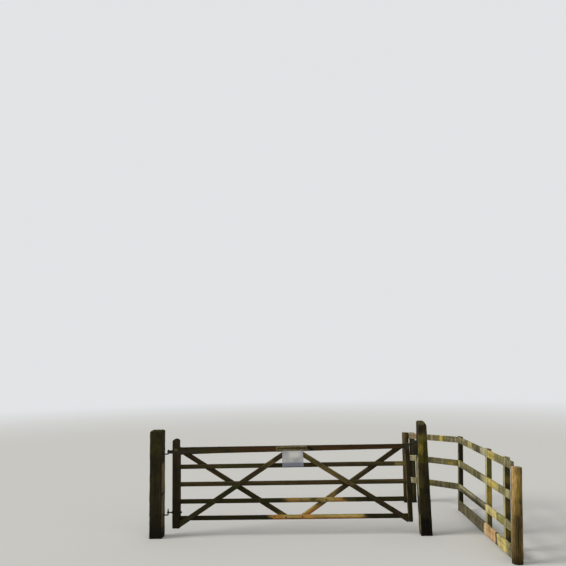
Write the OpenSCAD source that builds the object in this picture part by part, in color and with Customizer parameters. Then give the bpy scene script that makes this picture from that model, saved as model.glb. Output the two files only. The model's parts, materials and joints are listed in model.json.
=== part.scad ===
// Timber gateway: a wide five-rail gate hung between two big posts, with a railed
// walkers' pen beside it. Origin at the foot of the hanging post, X along the closed
// gate, Y away from the approach side, Z up, level ground at Z = 0.

/* [Gate posts] */
// Side of the square hanging post
hanging_post_w = 195; // [150:1:220]
// Height of the hanging post
hanging_post_h = 1600; // [1500:5:1900]
// Side of the shutting post at its foot
shutting_post_w = 168; // [150:1:220]
// Height of the shutting post
shutting_post_h = 1665; // [1500:5:2000]
// How far the shutting post is worn back at its top on the side of the gate
shutting_post_wear = 42; // [10:1:45]
// Length of the shutting post's worn side
shutting_wear_len = 800; // [600:5:1000]
// Bevel round the top of both gate posts
post_bevel = 14; // [4:1:25]
// Width of the slope at the top of the shutting post, on the side of the path
shutting_slope_w = 34; // [10:1:40]
// Height of the slope at the top of the shutting post
shutting_slope_h = 60; // [20:1:80]

/* [Gate leaf] */
// Width of the leaf over its two stiles
leaf_w = 3660; // [3000:10:4300]
// Thickness of the stiles
leaf_t = 75; // [60:1:90]
// Height of the bottom rail's underside above the ground
leaf_clear = 240; // [180:5:320]
// Width of the heel stile
heel_w = 120; // [95:1:140]
// How far the heel stile rises above the top rail
heel_horn = 138; // [60:1:200]
// How far the heel stile runs down below the bottom rail
heel_drop = 110; // [40:1:150]
// Width of the head stile
head_w = 66; // [55:1:95]
// How far the head stile runs down below the bottom rail
head_drop = 50; // [20:1:120]
// How far the horn of the heel stile is set in over the top rail
horn_set = 12; // [0:1:30]
// Gap between the head stile and the foot of the shutting post
head_gap = 101; // [80:1:130]

/* [Leaf rails] */
// Width of the four lower rails
rail_w = 66; // [55:1:80]
// Thickness of the four lower rails
rail_t = 22; // [18:1:26]
// Depth of the top rail at the heel
top_rail_heel_d = 106; // [90:1:120]
// Depth of the top rail just past its knee
top_rail_knee_d = 92; // [75:1:100]
// Depth of the top rail at the head
top_rail_head_d = 64; // [55:1:80]
// Distance from the heel stile to the knee of the top rail
knee_at = 230; // [100:5:500]
// Length of the slope of the knee
knee_len = 260; // [50:5:400]
// Thickness of the top rail at the head
top_rail_head_t = 50; // [40:1:60]
// Clear height between the bottom rail and the fourth rail
gap_4 = 180; // [140:1:220]
// Clear height between the fourth rail and the middle rail
gap_3 = 190; // [150:1:230]
// Clear height between the middle rail and the second rail
gap_2 = 196; // [150:1:230]
// Clear height between the second rail and the top rail at the heel
gap_1 = 152; // [110:1:200]
// Shoulder above and below each rail tenon
tenon_shoulder = 8; // [4:1:14]
// Play round a tenon in its mortise
tenon_play = 0.5; // [0.2:0.1:1]

/* [Braces] */
// Width of a brace
brace_w = 74; // [60:1:85]
// Thickness of a brace
brace_t = 22; // [18:1:26]
// Distance from the heel edge of the leaf to where the braces meet in the middle
brace_meet = 1872; // [1500:2:2200]
// Half the distance between the two front braces under the top rail
front_spread = 77; // [76:1:160]
// Half the distance between the two rear braces on the bottom rail
rear_spread = 126; // [124:2:200]
// Distance from the heel stile to the front brace under the bottom rail
front_set_heel = 82; // [10:2:160]
// Distance from the head stile to the front brace under the bottom rail
front_set_head = 32; // [0:2:100]
// Distance from the heel stile to the rear brace where it meets the top rail
rear_set_heel = 97; // [60:1:260]
// Distance from the head stile to the rear brace where it meets the top rail
rear_set_head = 98; // [60:1:200]

/* [Hinges] */
// Diameter of the hook pins and shanks
pin_d = 19; // [16:0.5:24]
// Running clearance between a pin and its eye, on the diameter
pin_play = 1; // [0.6:0.1:2]
// Distance from the hanging post's face to the pins
pin_out = 74; // [66:1:120]
// Distance from the pins to the heel edge of the leaf
eye_reach = 72; // [60:1:90]
// How far the top hook's shank is below the top of the leaf
top_hook_drop = 96; // [80:1:140]
// How far the bottom hook's shank is above the bottom rail's underside
bottom_hook_rise = 82; // [70:1:140]
// Play round a hook's shank in its hole through the post, on the diameter
shank_play = 1; // [0.6:0.1:2]
// Height of the top hook's pin above its shank
top_pin_h = 68; // [60:1:90]
// Height of the bottom hook's pin above its shank
bottom_pin_h = 90; // [70:1:120]
// Length of the straps of the top band past the heel edge
strap_len = 420; // [250:5:600]
// Height of the straps
strap_h = 44; // [35:1:50]
// Thickness of the straps
strap_t = 6; // [5:0.5:8]
// Wall of the eyes round their pins
eye_wall = 8; // [7:0.5:12]
// Height of the bottom eye
low_eye_h = 24; // [18:1:32]
// Size of the nuts across their flats
nut_af = 32; // [28:1:38]
// Thickness of the nuts
nut_t = 15; // [12:1:20]
// Side of the square washers
washer_w = 60; // [45:1:75]
// Thickness of the washers
washer_t = 5; // [3:0.5:8]

/* [Latch] */
// Height of the latch plate on the head stile
latch_h = 110; // [90:1:130]
// Width of the latch plate's stem
latch_stem_w = 46; // [30:1:60]
// How far the latch stands above the top of the leaf
latch_rise = 7; // [0:1:12]
// Height of the striker bar
striker_h = 32; // [20:1:40]
// Thickness of the latch metal
latch_t = 6; // [5:0.5:8]
// Thickness of the striker bar
striker_t = 12; // [8:1:16]
// Gap between the striker bar and the catch plate
striker_gap = 12; // [8:1:20]
// Gap between the striker bar and its stop
stop_gap = 6; // [5:0.5:12]
// Width of the catch plate on the shutting post
catch_w = 70; // [40:1:90]
// Height of the catch plate and of its stop
catch_h = 220; // [120:5:260]
// How far the middle of the catch is below the striker bar's middle
catch_drop = 50; // [0:1:60]
// How deep the catch plate is let into the shutting post
catch_let_in = 3; // [1:0.5:5]
// How far the stop stands out from the catch plate at its top
stop_reach = 58; // [30:1:60]
// How much further the stop stands out at its foot
stop_flare = 16; // [0:1:20]

/* [Plaque and notice] */
// Length of the bare plaque
plaque_w = 480; // [300:5:600]
// Height of the bare plaque
plaque_h = 56; // [40:1:60]
// Thickness of the plaque
plaque_t = 4; // [2:0.5:8]
// Distance from the heel edge of the leaf to the plaque
plaque_at = 1620; // [1200:5:2000]
// Distance from the top rail's top down to the plaque
plaque_drop = 6; // [2:1:12]
// Width of the notice sheet
notice_w = 324; // [200:1:400]
// Height of the notice sheet
notice_h = 240; // [150:1:320]
// Thickness of the notice sheet
notice_t = 2; // [1:0.5:3]
// Distance from the heel edge of the leaf to the notice sheet
notice_at = 1710; // [1200:5:2200]
// Gap between the plaque and the notice sheet below it
notice_gap = 6; // [2:1:10]

/* [Walkers' pen] */
// Distance across the path from the shutting post to the side rails
path_w = 732; // [600:1:1200]
// Distance from the gate line back to the pen's corner
corner_back = 1336; // [900:5:2000]
// Angle of the side fence to the line square to the gate
side_angle = 1.2; // [0:0.1:10]
// Lean of the side fence away from the path
side_lean = 3.6; // [0:0.1:6]
// Angle of the back fence from the gate line
back_angle = 138.6; // [120:0.2:165]
// Width of the pen rails
pen_rail_w = 100; // [80:1:120]
// Thickness of the pen rails
pen_rail_t = 38; // [30:1:45]
// Clear height between the kickboard and the lower pen rail
pen_gap_1 = 178; // [120:1:250]
// Clear height between the lower and the middle pen rail
pen_gap_2 = 295; // [200:1:350]
// Clear height between the middle and the top pen rail
pen_gap_3 = 296; // [200:1:350]
// Length of the side rails
side_rail_len = 2530; // [2100:10:3200]
// Length of the back rails
back_rail_len = 944; // [700:2:1400]
// Height of the kickboards
kick_h = 155; // [100:1:200]
// Height of the kickboards' lower edge above the ground
kick_z = 20; // [5:1:60]
// Side of the square pen posts
pen_post_w = 76; // [60:1:100]
// How far the square pen posts stand above the top pen rail
pen_post_rise = 12; // [10:2:200]
// Side of the corner post
corner_post_w = 74; // [66:1:110]
// How deep the rails are let into the corner post
corner_housing = 26; // [10:1:32]
// Distance from the corner to the middle of the corner post
corner_post_in = 16; // [0:1:32]
// Distance from the corner to the middle side post
side_middle_at = 1385; // [1000:5:1700]
// Distance from the end of the side rails to the end side post
side_end_in = 385; // [120:5:500]
// How far the end back post reaches past the end of the back rails
back_end_out = 14; // [-200:2:16]
// Slope of the weathered top of a pen post
post_slope = 10; // [0:1:20]

/* [Round posts] */
// Diameter of the front round post
front_round_d = 138; // [110:1:180]
// Height of the front round post
front_round_h = 1194; // [1150:2:1500]
// Diameter of the back round post
back_round_d = 122; // [100:1:180]
// Height of the back round post
back_round_h = 1250; // [1150:2:1500]
// Gap between the side rails' ends and the front round post
front_round_gap = 16; // [8:1:60]
// Gap between the back rails' ends and the back round post
back_round_gap = 12; // [12:1:200]
// Bevel round the tops of the round posts
round_bevel = 6; // [2:1:12]
// How far the front round post stands out from the rails' path face
round_out = 35; // [0:1:60]

/* [Hidden] */
$fn = 48;

weathered = "#6b6338";
gate_wood = "#4a4428";
pen_wood = "#7d7d5c";
iron = "#2c2f29";

pin_x = hanging_post_w / 2 + pin_out;
heel_x = pin_x + eye_reach;
leaf_end_x = heel_x + leaf_w;
shutting_x = leaf_end_x + head_gap + shutting_post_w / 2;
head_inner = leaf_w - head_w;
knee_end = heel_w + knee_at + knee_len;

// Undersides of the four lower rails, bottom one first
rail_z = [leaf_clear, leaf_clear + rail_w + gap_4,
    leaf_clear + 2 * rail_w + gap_4 + gap_3,
    leaf_clear + 3 * rail_w + gap_4 + gap_3 + gap_2];
leaf_top = rail_z[3] + rail_w + gap_1 + top_rail_heel_d;

// Undersides of the pen rails, lowest first
pen_rail_z = [kick_z + kick_h + pen_gap_1,
    kick_z + kick_h + pen_gap_1 + pen_rail_w + pen_gap_2,
    kick_z + kick_h + pen_gap_1 + 2 * pen_rail_w + pen_gap_2 + pen_gap_3];
pen_post_h = pen_rail_z[2] + pen_rail_w + pen_post_rise;

top_hook_z = leaf_top - top_hook_drop;
bottom_hook_z = leaf_clear + bottom_hook_rise;
bolt_bore_d = pin_d + shank_play;
eye_d = pin_d + pin_play + 2 * eye_wall;
low_eye_z = bottom_hook_z + bottom_pin_h * 0.42;
strap_z = top_hook_z + pin_d / 2 + 1;
latch_z = leaf_top + latch_rise - latch_h;
striker_mid_z = leaf_top + latch_rise - striker_h / 2;
catch_z = striker_mid_z - catch_drop;
catch_x = shutting_x + worn_side(striker_mid_z) - latch_t + catch_let_in;
corner_x = shutting_x + shutting_post_w / 2 + path_w;

// Lean of the back fence, so that both fences meet in one slanting line
back_lean = atan(tan(side_lean) * cos(back_angle - 90 - side_angle));
// How far the back rails run on at the corner before they are trimmed to the side rails
corner_run_on = pen_post_h * tan(side_lean) + 3 * pen_rail_t;
// How deep a leaning post runs before it is cut off at the ground
post_sunk = 30;
// Bevel round the feet of the stiles
foot_bevel = 8;
// How far the shoulders of the heel stile's horn are below its tip
horn_shoulder = 30;
// Bevel at the top of the hook pins
pin_bevel = 3;
// How far a threaded end stands out past its nut
thread_out = 9;
// How far before the heel edge the straps reach the faces of the leaf
strap_lead = 11;
// Diameter of the round bite under the end of the striker bar
bite_d = 48;
// How far the middle of the bite is below the striker bar
bite_drop = 12;
// Larger than the whole gateway, for the spaces that trim other shapes
vast = 12000;

// The shutting post's side towards the gate at a height, from its middle
function worn_side(z) = -shutting_post_w / 2 + shutting_post_wear
    * max(0, z - shutting_post_h + shutting_wear_len) / shutting_wear_len;

// Depth of the top rail at a distance along the leaf
function top_rail_depth(x) =
    x < heel_w + knee_at ? top_rail_heel_d :
    x < knee_end ? top_rail_heel_d - (top_rail_heel_d - top_rail_knee_d)
        * (x - heel_w - knee_at) / knee_len :
    top_rail_knee_d - (top_rail_knee_d - top_rail_head_d)
        * (x - knee_end) / (head_inner - knee_end);

// Stands a drawing in X and Z up as a board from y0 to y1
module upright(y0, y1) {
    translate([0, y1, 0]) rotate([90, 0, 0]) linear_extrude(y1 - y0) children();
}

// Lays a drawing in Y and Z along X from x0 to x1
module along(x0, x1) {
    translate([x0, 0, 0]) rotate([90, 0, 90]) linear_extrude(x1 - x0) children();
}

// Outline of a squared post with a bevelled top
module post_outline(w, h) {
    polygon([[-w / 2, 0], [w / 2, 0], [w / 2, h - post_bevel], [w / 2 - post_bevel, h],
        [post_bevel - w / 2, h], [-w / 2, h - post_bevel]]);
}

// Outline of the shutting post seen from the approach side, worn and weathered
module shutting_outline() {
    half_w = shutting_post_w / 2;
    polygon([[-half_w, 0], [half_w, 0], [half_w, shutting_post_h - shutting_slope_h],
        [half_w - shutting_slope_w, shutting_post_h],
        [worn_side(shutting_post_h) + post_bevel / 2, shutting_post_h],
        [worn_side(shutting_post_h), shutting_post_h - post_bevel],
        [-half_w, shutting_post_h - shutting_wear_len]]);
}

module hanging_post() {
    color(weathered) difference() {
        intersection() {
            upright(-hanging_post_w, hanging_post_w) post_outline(hanging_post_w, hanging_post_h);
            along(-hanging_post_w, hanging_post_w) post_outline(hanging_post_w, hanging_post_h);
        }
        for (z = [top_hook_z, bottom_hook_z])
            translate([-hanging_post_w, 0, z]) rotate([0, 90, 0])
                cylinder(h = 2 * hanging_post_w, d = bolt_bore_d);
    }
}

module shutting_post() {
    color(weathered) difference() {
        translate([shutting_x, 0, 0]) intersection() {
            upright(-shutting_post_w, shutting_post_w) shutting_outline();
            along(-shutting_post_w, shutting_post_w) post_outline(shutting_post_w, shutting_post_h);
        }
        catch_plate();
    }
}

// The hole that a lower rail's tenon fills
module mortise(z) {
    slot_h = rail_w - 2 * tenon_shoulder + 2 * tenon_play;
    slot_t = rail_t + 2 * tenon_play;
    translate([-leaf_t, -slot_t / 2, z + tenon_shoulder - tenon_play])
        cube([heel_w + 2 * leaf_t, slot_t, slot_h]);
}

// The hole that the top rail's tenon fills at the end with this depth of rail
module top_mortise(depth) {
    slot_t = rail_t + 2 * tenon_play;
    translate([-leaf_t, -slot_t / 2, leaf_top - depth + tenon_shoulder - tenon_play])
        cube([heel_w + 2 * leaf_t, slot_t, depth - 3 * tenon_shoulder + 2 * tenon_play]);
}

module heel_stile() {
    foot = leaf_clear - heel_drop;
    tip = leaf_top + heel_horn;
    color(gate_wood) translate([heel_x, 0, 0]) difference() {
        upright(-leaf_t / 2, leaf_t / 2)
            polygon([[0, foot + foot_bevel], [foot_bevel, foot], [heel_w - foot_bevel, foot],
                [heel_w, foot + foot_bevel], [heel_w, leaf_top],
                [heel_w - horn_set, leaf_top + horn_set],
                [heel_w - horn_set, tip - horn_shoulder],
                [heel_w * 0.75, tip - horn_shoulder * 0.35], [heel_w * 0.48, tip],
                [heel_w * 0.26, tip - horn_shoulder * 0.25], [0, tip - horn_shoulder]]);
        for (z = rail_z) mortise(z);
        top_mortise(top_rail_heel_d);
        translate([-leaf_t, 0, low_eye_z]) rotate([0, 90, 0])
            cylinder(h = heel_w + 2 * leaf_t, d = bolt_bore_d);
    }
}

module head_stile() {
    foot = leaf_clear - head_drop;
    color(gate_wood) translate([heel_x + head_inner, 0, 0]) difference() {
        upright(-leaf_t / 2, leaf_t / 2)
            polygon([[0, foot + foot_bevel], [foot_bevel, foot], [head_w - foot_bevel, foot],
                [head_w, foot + foot_bevel], [head_w, leaf_top - foot_bevel],
                [head_w - foot_bevel, leaf_top], [0, leaf_top]]);
        for (z = rail_z) mortise(z);
        top_mortise(top_rail_head_d);
    }
}

// Top rail: deep at the heel, with a knee, thinned behind towards the head
module top_rail() {
    tenon_h = top_rail_heel_d - 3 * tenon_shoulder;
    head_tenon_h = top_rail_head_d - 3 * tenon_shoulder;
    color(gate_wood) translate([heel_x, 0, 0]) {
        intersection() {
            upright(-leaf_t, leaf_t)
                polygon([[heel_w, leaf_top - top_rail_heel_d],
                    [heel_w + knee_at, leaf_top - top_rail_heel_d],
                    [knee_end, leaf_top - top_rail_knee_d],
                    [head_inner, leaf_top - top_rail_head_d],
                    [head_inner, leaf_top], [heel_w, leaf_top]]);
            linear_extrude(2 * leaf_top)
                polygon([[heel_w, -leaf_t / 2], [head_inner, -leaf_t / 2],
                    [head_inner, top_rail_head_t - leaf_t / 2], [knee_end, leaf_t / 2],
                    [heel_w, leaf_t / 2]]);
        }
        translate([0, -rail_t / 2, leaf_top - top_rail_heel_d + tenon_shoulder])
            cube([heel_w, rail_t, tenon_h]);
        translate([head_inner, -rail_t / 2, leaf_top - top_rail_head_d + tenon_shoulder])
            cube([head_w, rail_t, head_tenon_h]);
    }
}

// One of the four lower rails, tenoned through both stiles
module leaf_rail(z) {
    color(gate_wood) translate([heel_x, -rail_t / 2, z]) {
        translate([heel_w, 0, 0]) cube([head_inner - heel_w, rail_t, rail_w]);
        translate([0, 0, tenon_shoulder])
            cube([leaf_w, rail_t, rail_w - 2 * tenon_shoulder]);
    }
}

module second_rail() { leaf_rail(rail_z[3]); }
module middle_rail() { leaf_rail(rail_z[2]); }
module fourth_rail() { leaf_rail(rail_z[1]); }
module bottom_rail() { leaf_rail(rail_z[0]); }

// The space under the top rail from the heel stile to the middle, down to a height
module heel_window(low) {
    polygon([[heel_w, low], [brace_meet, low],
        [brace_meet, leaf_top - top_rail_depth(brace_meet)],
        [knee_end, leaf_top - top_rail_knee_d],
        [heel_w + knee_at, leaf_top - top_rail_heel_d],
        [heel_w, leaf_top - top_rail_heel_d]]);
}

// The space under the top rail from the middle to the head stile, down to a height
module head_window(low) {
    polygon([[brace_meet, low], [head_inner, low], [head_inner, leaf_top - top_rail_head_d],
        [brace_meet, leaf_top - top_rail_depth(brace_meet)]]);
}

// A straight strip of board about the line from one point to another
module strip(from, to) {
    run = to - from;
    translate(from) rotate(atan2(run[1], run[0]))
        translate([-brace_w * 2, -brace_w / 2])
            square([norm(run) + brace_w * 4, brace_w]);
}

// A brace from y0 to the rear, cut to the window that its children draw
module brace(from, to, y0) {
    color(gate_wood) translate([heel_x, 0, 0]) upright(y0, y0 + brace_t) intersection() {
        strip(from, to);
        children();
    }
}

front_y = -rail_t / 2 - brace_t;
rear_y = rail_t / 2;
apex_z = leaf_top - top_rail_depth(brace_meet);
rear_foot_z = leaf_clear + rail_w / 2;

module front_brace_heel() {
    brace([heel_w + front_set_heel, leaf_clear], [brace_meet - front_spread, apex_z], front_y)
        heel_window(leaf_clear - heel_drop + tenon_shoulder);
}

module front_brace_head() {
    brace([head_inner - front_set_head, leaf_clear], [brace_meet + front_spread, apex_z], front_y)
        head_window(leaf_clear - head_drop);
}

module rear_brace_heel() {
    brace([heel_w + rear_set_heel, leaf_top - top_rail_heel_d],
        [brace_meet - rear_spread, rear_foot_z], rear_y) heel_window(leaf_clear);
}

module rear_brace_head() {
    brace([head_inner - rear_set_head, leaf_top - top_rail_head_d],
        [brace_meet + rear_spread, rear_foot_z], rear_y) head_window(leaf_clear);
}

// A six-sided nut, standing along X from a face
module nut() {
    rotate([0, 90, 0]) cylinder(h = nut_t, d = nut_af / cos(30), $fn = 6);
}

// A square washer, standing along X from a face
module washer() {
    translate([0, -washer_w / 2, -washer_w / 2]) cube([washer_t, washer_w, washer_w]);
}

// A hook bolted through the hanging post, its pin standing up
module hook(z, pin_h) {
    tail = hanging_post_w / 2 + washer_t + nut_t + thread_out;
    color(iron) {
        translate([-tail, 0, z]) rotate([0, 90, 0]) cylinder(h = tail + pin_x, d = pin_d);
        translate([pin_x, 0, z - pin_d / 2])
            cylinder(h = pin_h + pin_d / 2 - pin_bevel, d = pin_d);
        translate([pin_x, 0, z + pin_h - pin_bevel])
            cylinder(h = pin_bevel, d1 = pin_d, d2 = pin_d - 2 * pin_bevel);
        translate([-hanging_post_w / 2, 0, z]) mirror([1, 0, 0]) {
            washer();
            translate([washer_t, 0, 0]) nut();
        }
        translate([hanging_post_w / 2, 0, z]) washer();
    }
}

module top_hook() { hook(top_hook_z, top_pin_h); }
module bottom_hook() { hook(bottom_hook_z, bottom_pin_h); }

// One strap of the top band, from the eye out to the leaf's face and along it
module band_strap() {
    face = leaf_t / 2;
    linear_extrude(strap_h)
        polygon([[0, eye_d / 2 - strap_t], [0, eye_d / 2],
            [eye_reach - strap_lead, face + strap_t], [eye_reach + strap_len, face + strap_t],
            [eye_reach + strap_len, face], [eye_reach - strap_lead, face],
            [eye_d / 2, eye_d / 2 - strap_t]]);
}

// Top band: an eye with two straps that clasp the heel stile and the top rail
module top_hinge_band() {
    color(iron) translate([pin_x, 0, strap_z]) difference() {
        union() {
            cylinder(h = strap_h, d = eye_d);
            band_strap();
            mirror([0, 1, 0]) band_strap();
        }
        translate([0, 0, -1]) cylinder(h = strap_h + 2, d = pin_d + pin_play);
    }
}

// Bottom eye on a threaded rod through the heel stile, with a nut each side
module bottom_hinge_eye() {
    rod = eye_reach + heel_w + nut_t + thread_out;
    color(iron) translate([pin_x, 0, low_eye_z]) difference() {
        union() {
            translate([0, 0, -low_eye_h / 2]) cylinder(h = low_eye_h, d = eye_d);
            rotate([0, 90, 0]) cylinder(h = rod, d = pin_d);
            translate([eye_reach + heel_w, 0, 0]) nut();
            translate([eye_reach - nut_t, 0, 0]) nut();
        }
        translate([0, 0, -low_eye_h]) cylinder(h = 2 * low_eye_h, d = pin_d + pin_play);
    }
}

// Latch plate on the face of the head stile, turned round its edge, with the striker bar
module gate_latch() {
    reach = catch_x - leaf_end_x - striker_gap;
    bar_z = latch_h - striker_h;
    color(iron) translate([leaf_end_x, 0, latch_z]) {
        upright(-leaf_t / 2 - latch_t, -leaf_t / 2)
            polygon([[-head_w, 0], [latch_stem_w - head_w, 0], [latch_stem_w - head_w, bar_z / 2],
                [0, bar_z], [latch_t, bar_z], [latch_t, latch_h], [-head_w, latch_h]]);
        translate([0, -leaf_t / 2, bar_z]) cube([latch_t, leaf_t / 2 + striker_t, striker_h]);
        difference() {
            translate([latch_t, -striker_t / 2, bar_z])
                cube([reach - latch_t, striker_t, striker_h]);
            translate([reach, 0, bar_z - bite_drop]) rotate([90, 0, 0])
                cylinder(h = 2 * striker_t, d = bite_d, center = true);
        }
    }
}

// Places children on the shutting post's worn side: X into the post, Z up along it
module on_catch() {
    translate([shutting_x + worn_side(catch_z), 0, catch_z])
        rotate([0, atan(shutting_post_wear / shutting_wear_len), 0]) children();
}

// Plate let into the shutting post opposite the striker bar
module catch_plate() {
    on_catch() translate([catch_let_in - latch_t, -catch_w / 2, -catch_h / 2])
        cube([latch_t, catch_w, catch_h]);
}

// Catch plate with a stop for the striker bar on the approach side
module latch_catch() {
    stop_y = -striker_t / 2 - stop_gap;
    color(iron) {
        catch_plate();
        on_catch() upright(stop_y - latch_t, stop_y)
            polygon([[0, -catch_h / 2], [0, catch_h / 2], [-stop_reach, catch_h / 2],
                [-stop_reach, 0], [-stop_reach - stop_flare, -catch_h / 3],
                [-stop_reach, -catch_h / 2]]);
    }
}

// A long narrow plate with nothing on it, on the front of the top rail
module plaque() {
    color("#6a5a44") translate([heel_x + plaque_at, -leaf_t / 2 - plaque_t,
        leaf_top - plaque_drop - plaque_h]) cube([plaque_w, plaque_t, plaque_h]);
}

// A limp sheet hung over the front of the braces, with nothing on it
module notice_sheet() {
    face = max(leaf_t / 2, rail_t / 2 + brace_t);
    top = leaf_top - plaque_drop - plaque_h - notice_gap;
    color("#a9a4b4") translate([heel_x + notice_at, -face - notice_t, top - notice_h])
        cube([notice_w, notice_t, notice_h]);
}

// Places children in the side fence's leaning frame: X from the corner towards the
// front, Y outwards from the rails' path face
module on_side() {
    translate([corner_x, corner_back, 0]) rotate(side_angle - 90) rotate([-side_lean, 0, 0])
        children();
}

// Places children in the back fence's leaning frame: X from the corner to the far end,
// Y outwards from the rails' path face
module on_back() {
    translate([corner_x, corner_back, 0]) rotate(back_angle) mirror([0, 1, 0])
        rotate([-back_lean, 0, 0]) children();
}

// Cuts leaning posts off level with the ground
module standing() {
    difference() {
        children();
        translate([-vast / 2, -vast / 2, -vast]) cube(vast);
    }
}

// A square pen post with a weathered top, its face on the back of the rails
module pen_post(w, h) {
    along(-w / 2, w / 2) polygon([[0, -post_sunk], [w, -post_sunk], [w, h - post_slope], [0, h]]);
}

module side_rail(z) {
    color(pen_wood) on_side() translate([0, 0, z])
        cube([side_rail_len, pen_rail_t, pen_rail_w]);
}

// A back rail, trimmed to butt on the end of a side rail and to end level with its back
module back_rail(z) {
    color(pen_wood) difference() {
        on_back() translate([-corner_run_on, 0, z])
            cube([back_rail_len + corner_run_on, pen_rail_t, pen_rail_w]);
        on_side() translate([0, -vast / 2, -vast / 2]) cube(vast);
        on_side() translate([-vast / 2, pen_rail_t, -vast / 2]) cube(vast);
    }
}

module side_top_rail() { side_rail(pen_rail_z[2]); }
module side_middle_rail() { side_rail(pen_rail_z[1]); }
module side_lower_rail() { side_rail(pen_rail_z[0]); }
module back_top_rail() { back_rail(pen_rail_z[2]); }
module back_middle_rail() { back_rail(pen_rail_z[1]); }
module back_lower_rail() { back_rail(pen_rail_z[0]); }

module rear_kickboard() {
    color(pen_wood) on_side() translate([0, 0, kick_z])
        cube([side_middle_at, pen_rail_t, kick_h]);
}

module front_kickboard() {
    color(pen_wood) on_side() translate([side_middle_at, 0, kick_z])
        cube([side_rail_len - side_middle_at, pen_rail_t, kick_h]);
}

// Corner post, with housings for the ends of the rails of both fences
module corner_post() {
    color(weathered) difference() {
        standing() on_side()
            translate([corner_post_in - corner_post_w / 2, pen_rail_t - corner_housing, 0])
                pen_post(corner_post_w, pen_post_h);
        for (z = pen_rail_z) {
            side_rail(z);
            back_rail(z);
        }
        rear_kickboard();
    }
}

module side_middle_post() {
    color(weathered) standing() on_side() translate([side_middle_at, pen_rail_t, 0])
        pen_post(pen_post_w, pen_post_h);
}

module side_end_post() {
    color(weathered) standing() on_side()
        translate([side_rail_len - side_end_in, pen_rail_t, 0]) pen_post(pen_post_w, pen_post_h);
}

module back_end_post() {
    color(weathered) standing() on_back()
        translate([back_rail_len + back_end_out - pen_post_w / 2, pen_rail_t, 0])
            pen_post(pen_post_w, pen_post_h);
}

// A round post with a bevelled top
module round_post(d, h) {
    color(weathered) {
        translate([0, 0, -post_sunk]) cylinder(h = h + post_sunk - round_bevel, d = d);
        translate([0, 0, h - round_bevel])
            cylinder(h = round_bevel, d1 = d, d2 = d - 2 * round_bevel);
    }
}

module front_round_post() {
    standing() on_side()
        translate([side_rail_len + front_round_gap + front_round_d / 2, round_out, 0])
            round_post(front_round_d, front_round_h);
}

module back_round_post() {
    standing() on_back()
        translate([back_rail_len + back_round_gap + back_round_d / 2, 0, 0])
            round_post(back_round_d, back_round_h);
}

hanging_post();
shutting_post();
heel_stile();
head_stile();
top_rail();
second_rail();
middle_rail();
fourth_rail();
bottom_rail();
front_brace_heel();
front_brace_head();
rear_brace_heel();
rear_brace_head();
top_hook();
bottom_hook();
top_hinge_band();
bottom_hinge_eye();
gate_latch();
latch_catch();
plaque();
notice_sheet();
corner_post();
side_middle_post();
side_end_post();
back_end_post();
front_round_post();
back_round_post();
side_top_rail();
side_middle_rail();
side_lower_rail();
rear_kickboard();
front_kickboard();
back_top_rail();
back_middle_rail();
back_lower_rail();
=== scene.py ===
import json
import math

import bmesh
import bpy
import numpy as np
from mathutils import Matrix, Vector, geometry, kdtree, noise


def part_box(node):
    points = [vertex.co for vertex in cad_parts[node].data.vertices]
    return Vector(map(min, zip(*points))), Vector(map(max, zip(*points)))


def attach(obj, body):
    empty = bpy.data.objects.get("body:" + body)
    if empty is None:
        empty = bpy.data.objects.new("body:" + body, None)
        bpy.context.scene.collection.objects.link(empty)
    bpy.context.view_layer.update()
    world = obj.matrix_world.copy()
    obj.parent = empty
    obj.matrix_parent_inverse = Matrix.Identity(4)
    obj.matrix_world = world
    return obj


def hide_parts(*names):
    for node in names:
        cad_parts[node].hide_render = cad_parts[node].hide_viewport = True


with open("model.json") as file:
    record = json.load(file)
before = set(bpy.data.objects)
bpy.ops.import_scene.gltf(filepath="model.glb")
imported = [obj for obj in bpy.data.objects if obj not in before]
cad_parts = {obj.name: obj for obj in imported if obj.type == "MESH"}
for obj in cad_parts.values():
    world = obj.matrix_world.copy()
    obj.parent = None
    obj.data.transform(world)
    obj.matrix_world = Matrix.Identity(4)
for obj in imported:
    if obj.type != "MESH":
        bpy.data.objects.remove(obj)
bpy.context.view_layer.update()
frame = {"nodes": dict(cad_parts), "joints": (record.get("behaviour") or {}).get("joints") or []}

mm = 0.001
print("frame loaded:", len(frame["nodes"]), "nodes")


def seen(red, green, blue):  # a colour as the eye reads it, 0 to 255, made into the one a shader takes
    parts = [c / 255 for c in (red, green, blue)]
    return [c / 12.92 if c < 0.04 else ((c + 0.055) / 1.055) ** 2.4 for c in parts] + [1.0]


def linked(name, data):  # a new object in the scene
    made = bpy.data.objects.new(name, data)
    bpy.context.scene.collection.objects.link(made)
    return made


# Camera
viewpoint = {
    "place": (2.439, -9.1003, 2.5932),  # about nine metres in front of the gate
    "turn": 2.586,  # degrees to the left
    "tilt": 8.032,  # degrees up
    "roll": -1.353,
    "lens": 36.254,  # millimetres
    "sensor": 36.0,
}


def setCamera(view):
    lens = bpy.data.cameras.new("viewer")
    lens.lens = view["lens"]
    lens.sensor_width = view["sensor"]
    viewer = linked("viewer", lens)
    turned = Matrix.Rotation(math.radians(view["turn"]), 4, "Z")
    tilted = Matrix.Rotation(math.radians(90 + view["tilt"]), 4, "X")
    rolled = Matrix.Rotation(math.radians(view["roll"]), 4, "Z")
    viewer.matrix_world = Matrix.Translation(view["place"]) @ turned @ tilted @ rolled
    bpy.context.scene.camera = viewer


setCamera(viewpoint)
print("camera set")


# Node helpers
def plug(tree, value, socket):  # a socket is linked, anything else is set
    if isinstance(value, bpy.types.NodeSocket):
        tree.links.new(value, socket)
    else:
        socket.default_value = value


def addNode(tree, kind, inputs=None, **settings):
    made = tree.nodes.new(kind)
    for key, value in settings.items():
        setattr(made, key, value)
    for key, value in (inputs or {}).items():
        plug(tree, value, made.inputs[key])
    return made


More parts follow.
